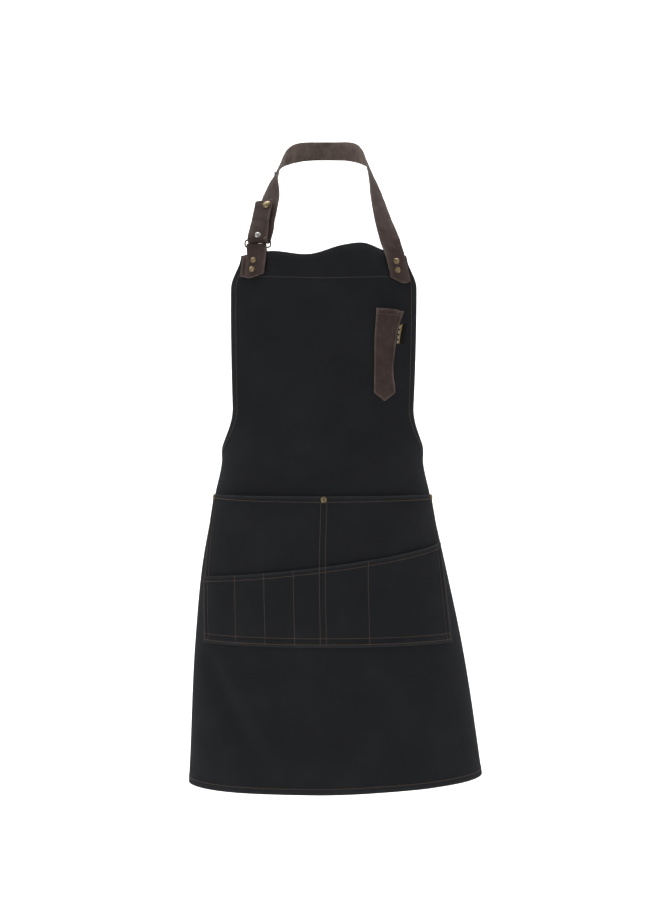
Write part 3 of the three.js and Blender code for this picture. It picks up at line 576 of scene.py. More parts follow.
tagTop = pen["topZ"] - tag["below"]
across, down = np.meshgrid(np.linspace(0, 1, 9), np.linspace(0, 1, 18))
z = tagTop - tag["height"] * down
start = penEdges(-(z - pen["topZ"]) / pen["height"])[1] + tag["gap"]
u = start + tag["width"] * across
curl = tag["lift"] + 0.3 * across**2 + 0.1 * np.sin(down * 5)
labelTag = clothSheet("labelTag", clothPoint(u, z, curl + tag["thickness"]), clothPoint(u, z, curl),
    (across * tag["width"], z), np.zeros(across.shape), label)
print("pen pocket and label made")

# ---- bands: strap, flap, loop and ties ----

# centripetal Catmull-Rom through points, dense enough to read as a smooth line
def smoothLine(points, steps=16):
    p = np.array(points, float)
    p = np.vstack((2 * p[0] - p[1], p, 2 * p[-1] - p[-2]))
    t = np.linspace(0, 1, steps, endpoint=False)[:, None]
    spans = []
    for k in range(1, len(p) - 2):
        a, b, c = [max(np.linalg.norm(p[j + 1] - p[j]) ** 0.5, 1e-3) for j in (k - 1, k, k + 1)]
        m1 = ((p[k] - p[k - 1]) / a - (p[k + 1] - p[k - 1]) / (a + b) + (p[k + 1] - p[k]) / b) * b
        m2 = ((p[k + 1] - p[k]) / b - (p[k + 2] - p[k]) / (b + c) + (p[k + 2] - p[k + 1]) / c) * b
        spans.append((2 * t**3 - 3 * t**2 + 1) * p[k] + (t**3 - 2 * t**2 + t) * m1
            + (3 * t**2 - 2 * t**3) * p[k + 1] + (t**3 - t**2) * m2)
    return np.vstack((*spans, p[-2]))


class Band:
    def __init__(self, stations, steps=16):
        self.line = smoothLine([s[0] for s in stations], steps)
        sides = unit(smoothLine([s[1] for s in stations], steps))
        tangent = unit(np.gradient(self.line, axis=0))
        self.side = unit(sides - tangent * np.sum(sides * tangent, -1, keepdims=True))
        self.out = unit(np.cross(tangent, self.side))
        spans = np.linalg.norm(np.diff(self.line, axis=0), axis=1)
        self.along = np.concatenate(([0], np.cumsum(spans)))
        self.length = float(self.along[-1])

    def at(self, distance):
        pick = lambda rows: np.stack([np.interp(distance, self.along, rows[:, k]) for k in range(3)], -1)
        return pick(self.line), unit(pick(self.side)), unit(pick(self.out))


# section of a strap whose edges are turned over: a groove runs beside each rounded edge
def strapSection(width, thickness, groove):
    w, h = width / 2, thickness / 2
    face = [(0.0, 0.0), (0.25, 0.62), (0.9, 1.0), (2.6, 1.0), (3.1, 1 - groove), (3.7, 1.0), (8.0, 1.0)]
    half = [(-w + a, b * h) for a, b in face]
    top = half + [(0.0, h)] + [(-a, b) for a, b in reversed(half)]
    return top + [(w - 0.25, -0.62 * h), (w - 0.9, -h), (w - 8, -h), (0.0, -h), (8 - w, -h), (0.9 - w, -h),
        (0.25 - w, -0.62 * h)]


# trimStart and trimEnd say how much shorter the band is at each distance from its middle line
def bandPiece(name, band, width, thickness, material, groove=0.3, step=2.4, trimStart=None, trimEnd=None,
    ripple=None, widen=None):
    section = np.array(strapSection(width, thickness, groove))
    ends = np.array([0, 0.3, 0.8, 1.6, 3.0])
    body = np.linspace(5, band.length - 5, max(4, round(band.length / step)))
    rows = np.concatenate((ends, body, band.length - ends[::-1]))
    s, h = section[:, 0][None, :], -section[:, 1][None, :]
    low = trimStart(s) if trimStart else np.zeros(s.shape)
    high = band.length - (trimEnd(s) if trimEnd else np.zeros(s.shape))
    d = low + (high - low) * rows[:, None] / band.length
    near = np.minimum(rows, band.length - rows)[:, None]
    height = h * np.sqrt(np.clip(1 - (1 - np.clip(near, 0, 1.2) / 1.2) ** 2, 0.12, 1))
    spread = np.repeat(s, len(rows), 0)
    if widen:
        spread = spread * widen(d)
    if ripple:
        height = height + ripple(spread, d)
    point, side, out = band.at(d)
    grid = point + side * spread[..., None] + out * height[..., None]
    count = grid.shape[1]
    faces = wrapGrid(len(rows), count)
    faces.append(tuple(range(count)))
    faces.append(tuple((len(rows) - 1) * count + c for c in reversed(range(count))))
    wear = np.exp(-np.minimum(width / 2 - np.abs(s), near) / 0.9) * np.ones(d.shape)
    # a pale line is painted along each groove beside the turned edges: a painted highlight, held in the same
    # share as the edge wear
    wear = np.maximum(wear, 0.5 * np.exp(-((np.abs(s) - (width / 2 - 3.1)) / 0.5) ** 2))
    if material is leather:
        wear = np.maximum(wear, 0.8 * (h > 0))
    return newObject(name, grid.reshape(-1, 3), faces, [material],
        np.stack((spread.ravel(), d.ravel()), -1), wear.ravel(), sharp=60)


# ---- halter strap ----
strap = {"width": 29, "thickness": 2.4, "swing": (93, -152, -163), "ringX": -98, "ringWire": 2.4,
    "foldClearance": 1.1, "lean": 24.4, "swingGap": 1.8, "snapSpacing": 58}
mid = strap["thickness"] / 2
foldRadius = strap["ringWire"] / 2 + strap["foldClearance"] + mid
lean = math.radians(strap["lean"])
swingZ = strap["swing"][2]
upperBar = np.array([strap["ringX"], strap["swing"][1], swingZ], float)
inward = np.array([0, math.cos(lean), -math.sin(lean)])
upFold = np.array([0, math.sin(lean), math.cos(lean)])
upStrap = unit(np.array([0.15, math.sin(lean), math.cos(lean)]))


def layerStation(rise, layer):
    share = float(smooth(np.array(rise, float), 0, 36))
    across = unit(np.array([1, 0, 0]) * (1 - share) + unit(np.array([0.9, -0.42, 0.04])) * share)
    out = unit(np.cross(upStrap, across))
    askew = 3.0 + 1.5 * float(smooth(np.array(rise, float), 2, 20)) if layer > 0 else -1.5
    at = upperBar + upStrap * rise + out * layer * foldRadius + across * askew
    return at, across, out


def foldStation(angle):
    at = upperBar + inward * foldRadius * math.cos(angle) + np.array([0.75 + 2.25 * math.cos(angle), 0, 0])
    return at - upFold * foldRadius * math.sin(angle), np.array([1.0, 0, 0])


leftSide = [((-80, -97, -70), (0.56, -0.67, 0.4)), ((-74, -76, -48), (0.41, -0.69, 0.56)),
    ((-63, -47, -22), (0.3, -0.4, 0.8)), ((-40, -14, -5), (0, -0.12, 0.97))]
nape = [((x, mid, 0), (0, 0, 1)) for x in (-14, -7, 7, 14)]
rightSide = [((38, -13, -4), (0, -0.12, 0.97)), ((58, -47, -21), (-0.3, -0.4, 0.8)),
    ((67, -75, -48), (-0.41, -0.69, 0.56)), ((72, -93, -69), (-0.53, -0.67, 0.45)),
    ((77, -113, -97), (-0.72, -0.6, 0.19)), ((84, -133, -130), (-0.85, -0.4, 0.03)),
    (strap["swing"], (-1, 0, 0))]
patch = {"centre": 105, "width": 36, "height": 38, "thickness": 1.2, "gap": 0.4,
    "flat": {-1: (33, 34), 1: (27, 34)}}
bibTop = -panel["topDrop"]
# for each side: distance of the strap's end from the middle at the bib's top, its run outwards, its length
ends = {-1: (97.5, 3, 33), 1: (104, 9, 41)}
endLift = patch["gap"] * 2 + patch["thickness"] + mid


# a station of a strap end lying on the bib: share 0 at the bib's top, 1 at the strap's end
def onBib(share, side, lift):
    first, run, length = ends[side]
    u = side * (first + run * share)
    z = bibTop - 3 - share * length
    points = clothPoint([u, u - 5, u + 5], [z, z, z], [lift, 0, 0])
    return points[0], (points[1] - points[2]) * side


strapEnd = [onBib(share, 1, endLift) for share in (0, 0.5, 1)]
backLayer = [layerStation(rise, 1)[:2] for rise in (2.5, 18, 36, 70)]
halterBand = Band(backLayer + leftSide + nape + rightSide + strapEnd)


# shallow ripples where the strap bends over the shoulder and above its end
def strapRipple(s, d):
    return 0.22 * np.sin(d / 6.5 + s / 9) * np.exp(-((d - 95) / 45) ** 2) + 0.12 * np.sin(d / 4 + s / 5)


halterStrap = bandPiece("halterStrap", halterBand, strap["width"], strap["thickness"], leather,
    trimEnd=lambda s: 12 * np.clip((s + 3.5) / 18, 0, 1) + 3 * np.clip((-3.5 - s) / 11, 0, 1),
    ripple=strapRipple)
frontLayer = [layerStation(rise, -1)[:2] for rise in (0, 17, 34, 51, 68)]
turn = [foldStation(math.pi * k / 8) for k in range(0, 8)]
flapBand = Band([layerStation(2, 1)[:2]] + turn + frontLayer)
strapFlap = bandPiece("strapFlap", flapBand, strap["width"], strap["thickness"], leather, step=1.6,
    trimEnd=lambda s: 2.5 * np.clip((np.abs(s) - 12) / 2.5, 0, 1) ** 2,
    ripple=lambda s, d: 0.18 * np.sin(d / 3.1 + s / 7) * (d > 14))

# ---- ring and the loop that ties it to the bib ----
ringLook = {"width": 39.5, "pitch": 10.5, "corner": 4.2, "sides": 16}
facingBack = -(2 * panel["thickness"] + facing["gap"])
strapLift = patch["gap"] * 2 + patch["thickness"]
hollow = 1.5
loopMiddle = (strapLift + facingBack - hollow) / 2
lowerBar = clothPoint([-patch["centre"] + 3.0], [swingZ - ringLook["pitch"]], loopMiddle)[0]
lowerBar[0] = strap["ringX"]
ringCentre = (upperBar + lowerBar) / 2 - np.array([0.75, 0, 0])
ringUp = unit(upperBar - lowerBar)
ringHalf = (ringLook["width"] - strap["ringWire"]) / 2
ringTall = float(np.linalg.norm(upperBar - lowerBar)) / 2


def ringPath():
    corners = [(1, 1), (-1, 1), (-1, -1), (1, -1)]
    points = []
    for k, (sx, sz) in enumerate(corners):
        centre = np.array([sx * (ringHalf - ringLook["corner"]), sz * (ringTall - ringLook["corner"])])
        for j in range(9):
            angle = math.pi / 2 * (k + j / 8)
            points.append(centre + ringLook["corner"] * np.array([math.cos(angle), math.sin(angle)]))
    return points


def ringPiece():
    path, sides = ringPath(), ringLook["sides"]
    vertices = []
    normal = np.cross(np.array([1.0, 0, 0]), ringUp)
    for k, (x, h) in enumerate(path):
        run = unit(path[(k + 1) % len(path)] - path[k - 1])
        centre = ringCentre + np.array([x, 0, 0]) + ringUp * h
        radial = np.array([run[1], 0, 0]) - ringUp * run[0]
        for angle in [2 * math.pi * j / sides for j in range(sides)]:
            offset = radial * math.cos(angle) + normal * math.sin(angle)
            vertices.append(centre + offset * strap["ringWire"] / 2)
    total = len(vertices)
    faces = [tuple(v % total for v in face) for face in wrapGrid(len(path) + 1, sides)]
    return newObject("strapRing", vertices, faces, [gunmetal])


strapRing = ringPiece()
loopRadius = (strapLift - facingBack + hollow) / 2 + mid
loopTurn = []
for k in range(9):
    angle = math.pi * k / 8
    y = lowerBar[1] - loopRadius * math.cos(angle)
    z = lowerBar[2] + loopRadius * math.sin(angle)
    loopTurn.append((np.array([strap["ringX"] - 2.5, y, z]), np.array([1.0, 0, 0])))
tailLift = facingBack - hollow - mid
loopBand = Band([onBib(s, -1, endLift) for s in (1, 0.5, 0)] + loopTurn
    + [onBib(s, -1, tailLift) for s in (0, 0.5, 1)])
strapLoop = bandPiece("strapLoop", loopBand, strap["width"], strap["thickness"], leather, step=1.6,
    trimStart=lambda s: 7.5 * np.clip((s + 8) / 22.5, 0, 1) + 2 * np.clip((-8 - s) / 6.5, 0, 1),
    trimEnd=lambda s: 1.5 + 3 * (np.abs(s) / 14.5) ** 4)


# a patch under a strap end: only its outer edge shows
def patchPiece(name, side):
    across, down = np.meshgrid(spaced(0, 1, 0.05, np.array([0, 0.5, 1.5, 3.2]) / patch["width"]),
        spaced(0, 1, 0.05, np.array([0, 0.5, 1.5, 3.2]) / patch["height"]))
    innerTop, outerTop, innerEnd, outerEnd, innerLow, outerLow = patchCorners[side]
    top, end = innerTop + (outerTop - innerTop) * across, innerEnd + (outerEnd - innerEnd) * across
    u = side * (top * (1 - down) + end * down)
    bottom = innerLow + (outerLow - innerLow) * across - 2.5 * np.sin(across * math.pi)
    z = bibTop - 1.5 + (bottom - bibTop + 1.5) * down
    edge = np.minimum(np.minimum(across, 1 - across) * patch["width"],
        np.minimum(down, 1 - down) * patch["height"])
    rounded = 0.5 * np.exp(-edge / 0.5)
    return clothSheet(name, clothPoint(u, z, patch["gap"] + patch["thickness"] - rounded),
        clothPoint(u, z, patch["gap"] - 0.2), (u, z), np.exp(-edge / 1.5), leather)


# for each side: u of the inner and outer edge at the top, u of both at the bottom, z of both lower corners
patchCorners = {-1: (88, 119.5, 89, 123.5, -213, -217.5), 1: (93, 119.5, 101, 128, -214, -224)}
patchLeft = patchPiece("strapPatchLeft", -1)
patchRight = patchPiece("strapPatchRight", 1)
print("halter, ring and loop made")

# ---- turned metal pieces, set on points by Geometry Nodes ----

def turnedMesh(name, profile, segments=40):
    vertices, faces = [(0, 0, profile[0][1])], []
    turns = [2 * math.pi * k / segments for k in range(segments)]
    for radius, height in profile[1:-1]:
        vertices += [(radius * math.cos(turn), radius * math.sin(turn), height) for turn in turns]
    vertices.append((0, 0, profile[-1][1]))
    last = len(vertices) - 1
    rings = len(profile) - 2
    for k in range(segments):
        n = (k + 1) % segments
        faces.append((0, 1 + n, 1 + k))
        for r in range(rings - 1):
            a, b = 1 + r * segments + k, 1 + r * segments + n
            faces.append((a, b, b + segments, a + segments))
        faces.append((last, 1 + (rings - 1) * segments + k, 1 + (rings - 1) * segments + n))
    return newObject(name, [np.array(v, float) for v in vertices], faces, [], sharp=38)


# a node tree that sets a shape at each place and gives it a material
def instanceTree(name, inputs, material, places):
    tree = bpy.data.node_groups.new(name, "GeometryNodeTree")
    panelSocket = tree.interface.new_socket
    sockets = {label: panelSocket(name=label, in_out="INPUT", socket_type="NodeSocket" + kind).identifier
        for label, kind in inputs}
    panelSocket(name="Geometry", in_out="OUTPUT", socket_type="NodeSocketGeometry")
    source = addNode(tree, "NodeGroupInput")
    axis = addNode(tree, "GeometryNodeInputNamedAttribute", {"Name": "outward"}, data_type="FLOAT_VECTOR")
    layout = places(tree, source, axis["Attribute"])
    placed = addNode(tree, "GeometryNodeInstanceOnPoints", layout)[0]
    real = addNode(tree, "GeometryNodeRealizeInstances", {"Geometry": placed})[0]
    finish = {"Geometry": real, "Material": source[material]}
    colored = addNode(tree, "GeometryNodeSetMaterial", finish)[0]
    addNode(tree, "NodeGroupOutput", {0: colored})
    return tree, sockets


def metalPlaces(tree, source, outward):
    shape = addNode(tree, "GeometryNodeObjectInfo", {"Object": source["Shape"]})["Geometry"]
    turned = addNode(tree, "FunctionNodeAlignRotationToVector", {"Vector": outward}, axis="Z")[0]
    points = addNode(tree, "GeometryNodeMeshToPoints", {"Mesh": source["Points"]})[0]
    return {"Points": points, "Instance": shape, "Rotation": turned}


def stitchPlaces(tree, source, outward):
    seam = addNode(tree, "GeometryNodeMeshToCurve", {"Mesh": source["Seams"]})[0]
    lengths = {"Curve": seam, "Length": source["Pitch"]}
    even = addNode(tree, "GeometryNodeResampleCurve", lengths, mode="LENGTH")
    ball = addNode(tree, "GeometryNodeMeshUVSphere", {"Segments": 6, "Rings": 4, "Radius": 0.5})[0]
    tangent = addNode(tree, "GeometryNodeInputTangent")[0]
    along = addNode(tree, "FunctionNodeAlignRotationToVector", {"Vector": tangent}, axis="X")[0]
    facing = {"Rotation": along, "Vector": outward}
    flat = addNode(tree, "FunctionNodeAlignRotationToVector", facing, axis="Z", pivot_axis="X")[0]
    return {"Points": even[0], "Instance": ball, "Rotation": flat, "Scale": source["Size"]}


# runs a node tree on points or lines and keeps the result as a plain mesh
def grown(name, points, outwards, edges, group, values):
    tree, sockets = group
    mesh = bpy.data.meshes.new(name)
    mesh.from_pydata([tuple(np.asarray(p) * mm) for p in points], edges, [])
    attribute = mesh.attributes.new("outward", "FLOAT_VECTOR", "POINT")
    attribute.data.foreach_set("vector", np.asarray(outwards, float).ravel())
    seed = bpy.data.objects.new(name + "Lines", mesh)
    bpy.context.collection.objects.link(seed)
    modifier = seed.modifiers.new("nodes", "NODES")
    modifier.node_group = tree
    for key, value in values.items():
        modifier[sockets[key]] = value
    bpy.context.view_layer.update()
    evaluated = seed.evaluated_get(bpy.context.evaluated_depsgraph_get())
    result = bpy.data.meshes.new_from_object(evaluated)
    result.name = name
    seed.modifiers.clear()
    bpy.data.objects.remove(seed)
    result.shade_smooth()
    result.set_sharp_from_angle(angle=math.radians(38))
    item = bpy.data.objects.new(name, result)
    bpy.context.collection.objects.link(item)
    return item


pointTree = instanceTree("setOnPoints", (("Points", "Geometry"), ("Shape", "Object"), ("Metal", "Material")),
    "Metal", metalPlaces)
stitchTree = instanceTree("stitchAlong", (("Seams", "Geometry"), ("Pitch", "Float"), ("Size", "Vector"),
    ("Thread", "Material")), "Thread", stitchPlaces)
rivet = {"diameter": 9, "head": 2.2, "spacing": 13.5, "below": 9, "pocketInset": 7}
headR = rivet["diameter"] / 2
domeSteps = [(headR * math.cos(a), 0.55 + (rivet["head"] - 0.55) * math.sin(a))
    for a in np.linspace(0, math.pi / 2, 9)[:-1]]
capProfile = [(0, 0), (headR * 0.94, 0), (headR, 0.2)] + domeSteps + [(0, rivet["head"])]
capProfile[3] = (headR, 0.55)
buttonProfile = [(0, -1.6), (headR * 0.72, -1.55), (headR * 0.86, -1.2), (headR * 0.9, -0.4), (0, -0.4)]


def onCloth(u, z, lift):
    return clothPoint([u], [z], lift)[0], outwardAt(np.array([u]), np.array([z]))[0]


capSpots, backSpots = [], []
rivetPlaces = {-1: (101.5, 2), 1: (105, 1.5)}
for side in (-1, 1):
    for level in (0, 1):
        at, step = rivetPlaces[side]
        drop = rivet["below"] + (1 + side) * 0.7 + level * rivet["spacing"]
        place = (side * (at + step * level), bibTop - drop)
        capSpots.append(onCloth(*place, strapLift + strap["thickness"] - 0.1))
        backSpots.append(onCloth(*place, tailLift - mid + 0.4 if side < 0 else facingBack + 0.4))
for side in (-1, 0, 1):
    place = (side * (pocketHalf - rivet["pocketInset"]) + 2 * (side == 0),
        -pocket["mouthDrop"] - rivet["pocketInset"] / 2 - (side == 0))
    stack = float(upperLift(np.array(place[0]), np.array(place[1]))) + pocket["thickness"]
    capSpots.append(onCloth(*place, stack - 0.1))
    backSpots.append(onCloth(*place, -panel["thickness"] + 0.3))
capShape = turnedMesh("capShape", capProfile)
buttonShape = turnedMesh("buttonShape", buttonProfile)
rivetCaps = grown("rivetCaps", *zip(*capSpots), [], pointTree, {"Shape": capShape, "Metal": brass})
rivetBacks = grown("rivetBacks", *zip(*backSpots), [], pointTree, {"Shape": buttonShape, "Metal": brass})

# snap fastener: cap and socket on the flap, studs and posts along the strap
snap = {"diameter": 12.4, "stud": 8.6, "seat": 0.15, "knob": 1.9}
capR, studR, knobR = snap["diameter"] / 2, snap["stud"] / 2, snap["knob"]
face = mid + snap["seat"]
snapProfile = [(0, face), (capR * 0.95, face), (capR, face + 0.25), (capR, face + 0.7)]
snapProfile += [(capR * math.cos(a) * 0.97, face + 0.7 + 1.5 * math.sin(a))
    for a in np.linspace(0.15, 1.45, 9)]
snapProfile += [(0, face + 2.2)]
socketProfile = [(0, -face - 0.5), (knobR + 0.6, -face - 0.5), (knobR + 0.6, -face - 1.8),
    (studR * 0.7, -face - 1.9), (studR + 0.3, -face - 1.5), (studR + 0.4, -face), (0, -face)]
studProfile = [(0, face), (studR * 0.96, face), (studR, face + 0.3), (studR * 0.92, face + 0.7),
    (knobR * 1.5, face + 0.6), (knobR * 0.85, face + 0.9), (knobR, face + 1.7),
    (knobR * 0.7, face + 2.2), (0, face + 2.3)]
postProfile = [(0, -face - 0.8), (studR * 0.8, -face - 0.75), (studR * 0.97, -face - 0.4), (studR, -face),
    (0, -face)]
shapes = {name: turnedMesh(name, profile) for name, profile in (
    ("snapShape", snapProfile), ("socketShape", socketProfile), ("studShape", studProfile),
    ("postShape", postProfile))}


# the spot on the left half of the halter nearest to a height, and the way that its outer face looks
def strapSpot(z):
    distances = np.linspace(0, 200, 801)
    points, outs = halterBand.at(distances)[::2]
    k = int(np.argmin(np.abs(points[:, 2] - z)))
    return points[k], -outs[k]


middleStud = strapSpot(layerStation(strap["snapSpacing"], 1)[0][2])
upperStud = strapSpot(swingZ + 2 * strap["snapSpacing"] - 4)
lowerStud = layerStation(strap["swingGap"] / 2 + studR + 0.4, -1)[::2]
capSpot = (middleStud[0] + middleStud[1] * 2 * foldRadius, middleStud[1])


def metalPiece(name, spots, shape, metal):
    return grown(name, *zip(*spots), [], pointTree, {"Shape": shapes[shape], "Metal": metal})


snapCap = metalPiece("snapCap", [capSpot], "snapShape", brass)
snapSocket = metalPiece("snapSocket", [capSpot], "socketShape", nickel)
halterStuds = metalPiece("halterStuds", [middleStud, upperStud], "studShape", nickel)
halterPosts = metalPiece("halterPosts", [middleStud, upperStud], "postShape", nickel)
flapStud = metalPiece("flapStud", [lowerStud], "studShape", nickel)
flapPost = metalPiece("flapPost", [lowerStud], "postShape", nickel)
for shape in (capShape, buttonShape, *shapes.values()):
    bpy.data.objects.remove(shape)
print("rivets and snaps made")

# ---- stitching ----
thread = {"pitch": 3.1, "length": 2.5, "width": 0.75, "height": 0.5}


# a seam through points on the cloth, each one followed over the relief and the layers below it
def seamLine(points, lift, step=2.0):
    points = np.array(points, float)
    spans = np.concatenate(([0], np.cumsum(np.linalg.norm(np.diff(points, axis=0), axis=1))))
    stations = np.linspace(0, spans[-1], max(2, int(spans[-1] / step)))
    u, z = [np.interp(stations, spans, points[:, k]) for k in (0, 1)]
    height = lift(u, z) if callable(lift) else lift
    return clothPoint(u, z, height), outwardAt(u, z)


def sewn(name, seams, material, pitch=1.0):
    points, outwards, edges = [], [], []
    for line, outward in seams:
        start = len(points)
        points += list(line)
        outwards += list(outward)
        edges += [(k, k + 1) for k in range(start, len(points) - 1)]
    size = (thread["length"] * pitch * mm, thread["width"] * mm, thread["height"] * mm)
    return grown(name, points, outwards, edges, stitchTree,
        {"Pitch": thread["pitch"] * pitch * mm, "Size": size, "Thread": material})


hemFace = panel["hemRise"] * 0.5 + 0.12
topFaces = lambda u, z: upperLift(u, z) + pocket["thickness"] + 0.12
frontFaces = lambda u, z: lowerLift(u, z) + pocket["thickness"] + 0.12
seams = []


def hemSeam(u, drop):
    seams.append(seamLine(list(zip(u, panelHeight(u, drop))), hemFace))


quarterTurn = np.sin(np.linspace(0, math.pi / 2, 40))
for side in (-1, 1):
    for downs in (np.linspace(panel["topDrop"] + 4, armholeTop, 30),
        armholeTop + panel["armholeHeight"] * quarterTurn * 0.985):
        hemSeam(side * (panelHalfWidth(downs) - panel["hemStitch"]), downs)
    downs = np.linspace(armholeTop + panel["armholeHeight"] + 6, hemDrop - 8, 60)
    hemSeam(side * np.full(60, panel["width"] / 2 - panel["hemStitch"]), downs)
across = np.linspace(-panel["width"] / 2 + 9, panel["width"] / 2 - 9, 120)
hemSeam(across, np.full(120, hemDrop - panel["hemStitch"]))
apronSeams = sewn("hemStitches", seams, brownThread)

topLine = [(-128, -217.5), (-85, -218.6), (0, -221.6), (98, -218.2), (128, -216.5)]
topSeam = sewn("topHemStitches", [seamLine(topLine, 0.12)], greyThread)

mouthZ, bottomZ = -pocket["mouthDrop"], -pocket["bottomDrop"]
mouthLine = [(-pocketHalf + 3, mouthZ - 5), (-90, mouthZ - 7.6), (0, mouthZ - 8.2), (90, mouthZ - 7.4),
    (pocketHalf - 3, mouthZ - 6.6)]
seams = [seamLine(mouthLine, topFaces)]
# seams over both pockets: u, shifts of their top, middle and foot, and their start below the upper mouth
crossing = [(side * (pocketHalf - inset), 0, 0, 0, 3) for inset in (3.6, 10.6) for side in (-1, 1)]
crossing += [(u, 2.3, -1.7, -6, 10) for u in (-4.2, 4.2)]
for u, top, middle, foot, below in crossing:
    meet = float(lowerMouth(np.array(u)))
    seams.append(seamLine([(u + top, mouthZ - below), (u + middle, meet + 1)], topFaces))
    seams.append(seamLine([(u + middle, meet - 1), (u + foot, bottomZ + 4)], frontFaces))
for z in (bottomZ + 3.8, bottomZ + 12.5):
    seams.append(seamLine([(-pocketHalf + 4, z), (pocketHalf - 4, z)], frontFaces))
mouth = np.linspace(-pocketHalf + 3, pocketHalf - 3, 60)
seams.append(seamLine(list(zip(mouth, lowerMouth(mouth) - 7.4)), frontFaces))
for u in pocket["dividers"]:
    top = u + 3.8
    seams.append(seamLine([(top, float(lowerMouth(np.array(top))) - 2), (u, bottomZ + 4)], frontFaces))
pocketSeams = sewn("pocketStitches", seams, brownThread)


def penSeam(places):
    across, down = np.array(places, float).T
    u, z = penPlace(across, down)
    return clothPoint(u, z, penLift(across, down) + pen["thickness"] + 0.1), outwardAt(u, z)


inset = 2.2 / pen["width"]
sides = np.linspace(0.02, 0.978, 50)
foot = np.linspace(inset, 1 - inset, 20)
seams = [penSeam([(inset, d) for d in sides]), penSeam([(1 - inset, d) for d in sides]),
    penSeam([(a, 0.978) for a in foot]), penSeam([(a, 0.062) for a in foot])]
penSeams = sewn("penPocketStitches", seams, brownThread, 0.8)
print("stitching made")

# ---- waist ties and bow ----
tie = {"width": 25, "thickness": 1.2, "overlap": 26, "below": 5, "loop": 78, "tail": 210, "knot": 24,
    "knotDepth": 6}
tieZ = -(armholeTop + panel["armholeHeight"] + tie["below"] + tie["width"] / 2)
half, depth, front, shift = [float(v) for v in sectionAt(np.array(tieZ))]
quarter = np.linspace(0, math.pi, 721)[:-1] + math.pi / 1440
halfRound = float(np.sum(np.hypot(half * np.cos(quarter), depth * np.sin(quarter))) * math.pi / 720)
bowX = shift
knotY = 2 * depth - front + panel["thickness"] + 0.4 + tie["knotDepth"]


def waistTie(name, side):
    stations = np.linspace(panel["width"] / 2 - tie["overlap"], halfRound - tie["knot"] / 2 + 3, 70)
    across, s = np.meshgrid(np.linspace(-0.5, 0.5, 13), stations, indexing="ij")
    rolled = 1.1 * np.sin(s / 17) * (2 * across)
    lift = 0.5 + 0.35 * np.abs(np.sin(s / 11)) * np.cos(across * 3)
    u, z = side * s, tieZ + across * tie["width"] * (1 - 0.35 * smooth(s, halfRound - 60, halfRound)) + rolled
    edge = (0.5 - np.abs(across)) * tie["width"]
    base, out = formPoint(u, z), outwardAt(u, z)
    grid = lambda h: base + out * (h + panel["hemRise"])[..., None]
    return clothSheet(name, grid(lift + tie["thickness"]), grid(lift), (s, z), np.exp(-edge / 1.2))


def bowLoop(name, side):
    profile = [(0.10, -1.5), (0.5, -5), (0.82, -5), (1, -1), (0.98, 5), (0.8, 7), (0.5, 5), (0.10, 2)]
    stations = []
    for reach, y in profile:
        x = reach * tie["loop"]
        stations.append(((bowX + side * x, knotY + y, tieZ - 0.0022 * x * x), (0, 0, 1)))
    band = Band(stations)
    pinch = lambda d: 1 - 0.5 * (1 - smooth(np.minimum(d, band.length - d), 0, 30))
    ripple = lambda s, d: 0.7 * np.sin(s / 3.0) * np.exp(-np.minimum(d, band.length - d) / 16)
    return band, bandPiece(name, band, tie["width"], tie["thickness"], canvas, groove=0.1, step=1.8,
        widen=pinch, ripple=ripple)


def bowTail(name, side):
    top = tieZ - tie["width"] / 2 - 5
    profile = [(12.5, 1.5, -0.03), (14, 1, 0.03), (19, 2, 0.3), (29, 0, 0.65), (31, -1, 1)]
    band = Band([((bowX + side * x, knotY + y, top - share * tie["tail"]), (1, 0, 0.1 * side))
        for x, y, share in profile])
    ripple = lambda s, d: 0.9 * np.sin(s / 3.2) * np.exp(-d / 22) + 0.5 * np.sin(d / 26 + s / 9)
    return band, bandPiece(name, band, tie["width"], tie["thickness"], canvas, groove=0.1, step=2.2,
        widen=lambda d: 0.5 + 0.5 * smooth(d, 0, 34), trimEnd=lambda s: 3.0 * (s / 12.5 * side + 1),
        ripple=ripple)


def bowKnot():
    rows, columns = 26, 40
    vertices = []
    for r in range(rows + 1):
        polar = math.pi * r / rows
        for c in range(columns):
            turned = 2 * math.pi * c / columns
            folded = 1 + 0.07 * math.sin(9 * polar + 1.5 * math.sin(turned)) * math.sin(polar)
            level, deep = math.cos(turned), math.sin(turned)
            x = tie["knot"] / 2 * math.copysign(abs(math.sin(polar) * level) ** 0.8, level)
            y = tie["knotDepth"] * math.copysign(abs(math.sin(polar) * deep) ** 0.9, deep)
            height = (tie["width"] / 2 + 1) * math.copysign(abs(math.cos(polar)) ** 0.75, math.cos(polar))
            vertices.append(np.array([bowX + x * folded, knotY + y * folded, tieZ + height * 0.9]))
    item = newObject("bowKnot", vertices, wrapGrid(rows + 1, columns), [canvas],
        [(v[0], v[2]) for v in vertices], np.full(len(vertices), 0.15))
    form = bmesh.new()
    form.from_mesh(item.data)
    bmesh.ops.remove_doubles(form, verts=form.verts, dist=1e-5)
    bmesh.ops.recalc_face_normals(form, faces=form.faces)
    form.to_mesh(item.data)
    form.free()
    return item


tieRight, tieLeft = waistTie("waistTieRightHand", -1), waistTie("waistTieLeftHand", 1)
loopRightBand, loopRight = bowLoop("bowLoopRightHand", -1)
loopLeftBand, loopLeft = bowLoop("bowLoopLeftHand", 1)
tailRightBand, tailRight = bowTail("bowTailRightHand", -1)
tailLeftBand, tailLeft = bowTail("bowTailLeftHand", 1)
knot = bowKnot()
print("ties and bow made")

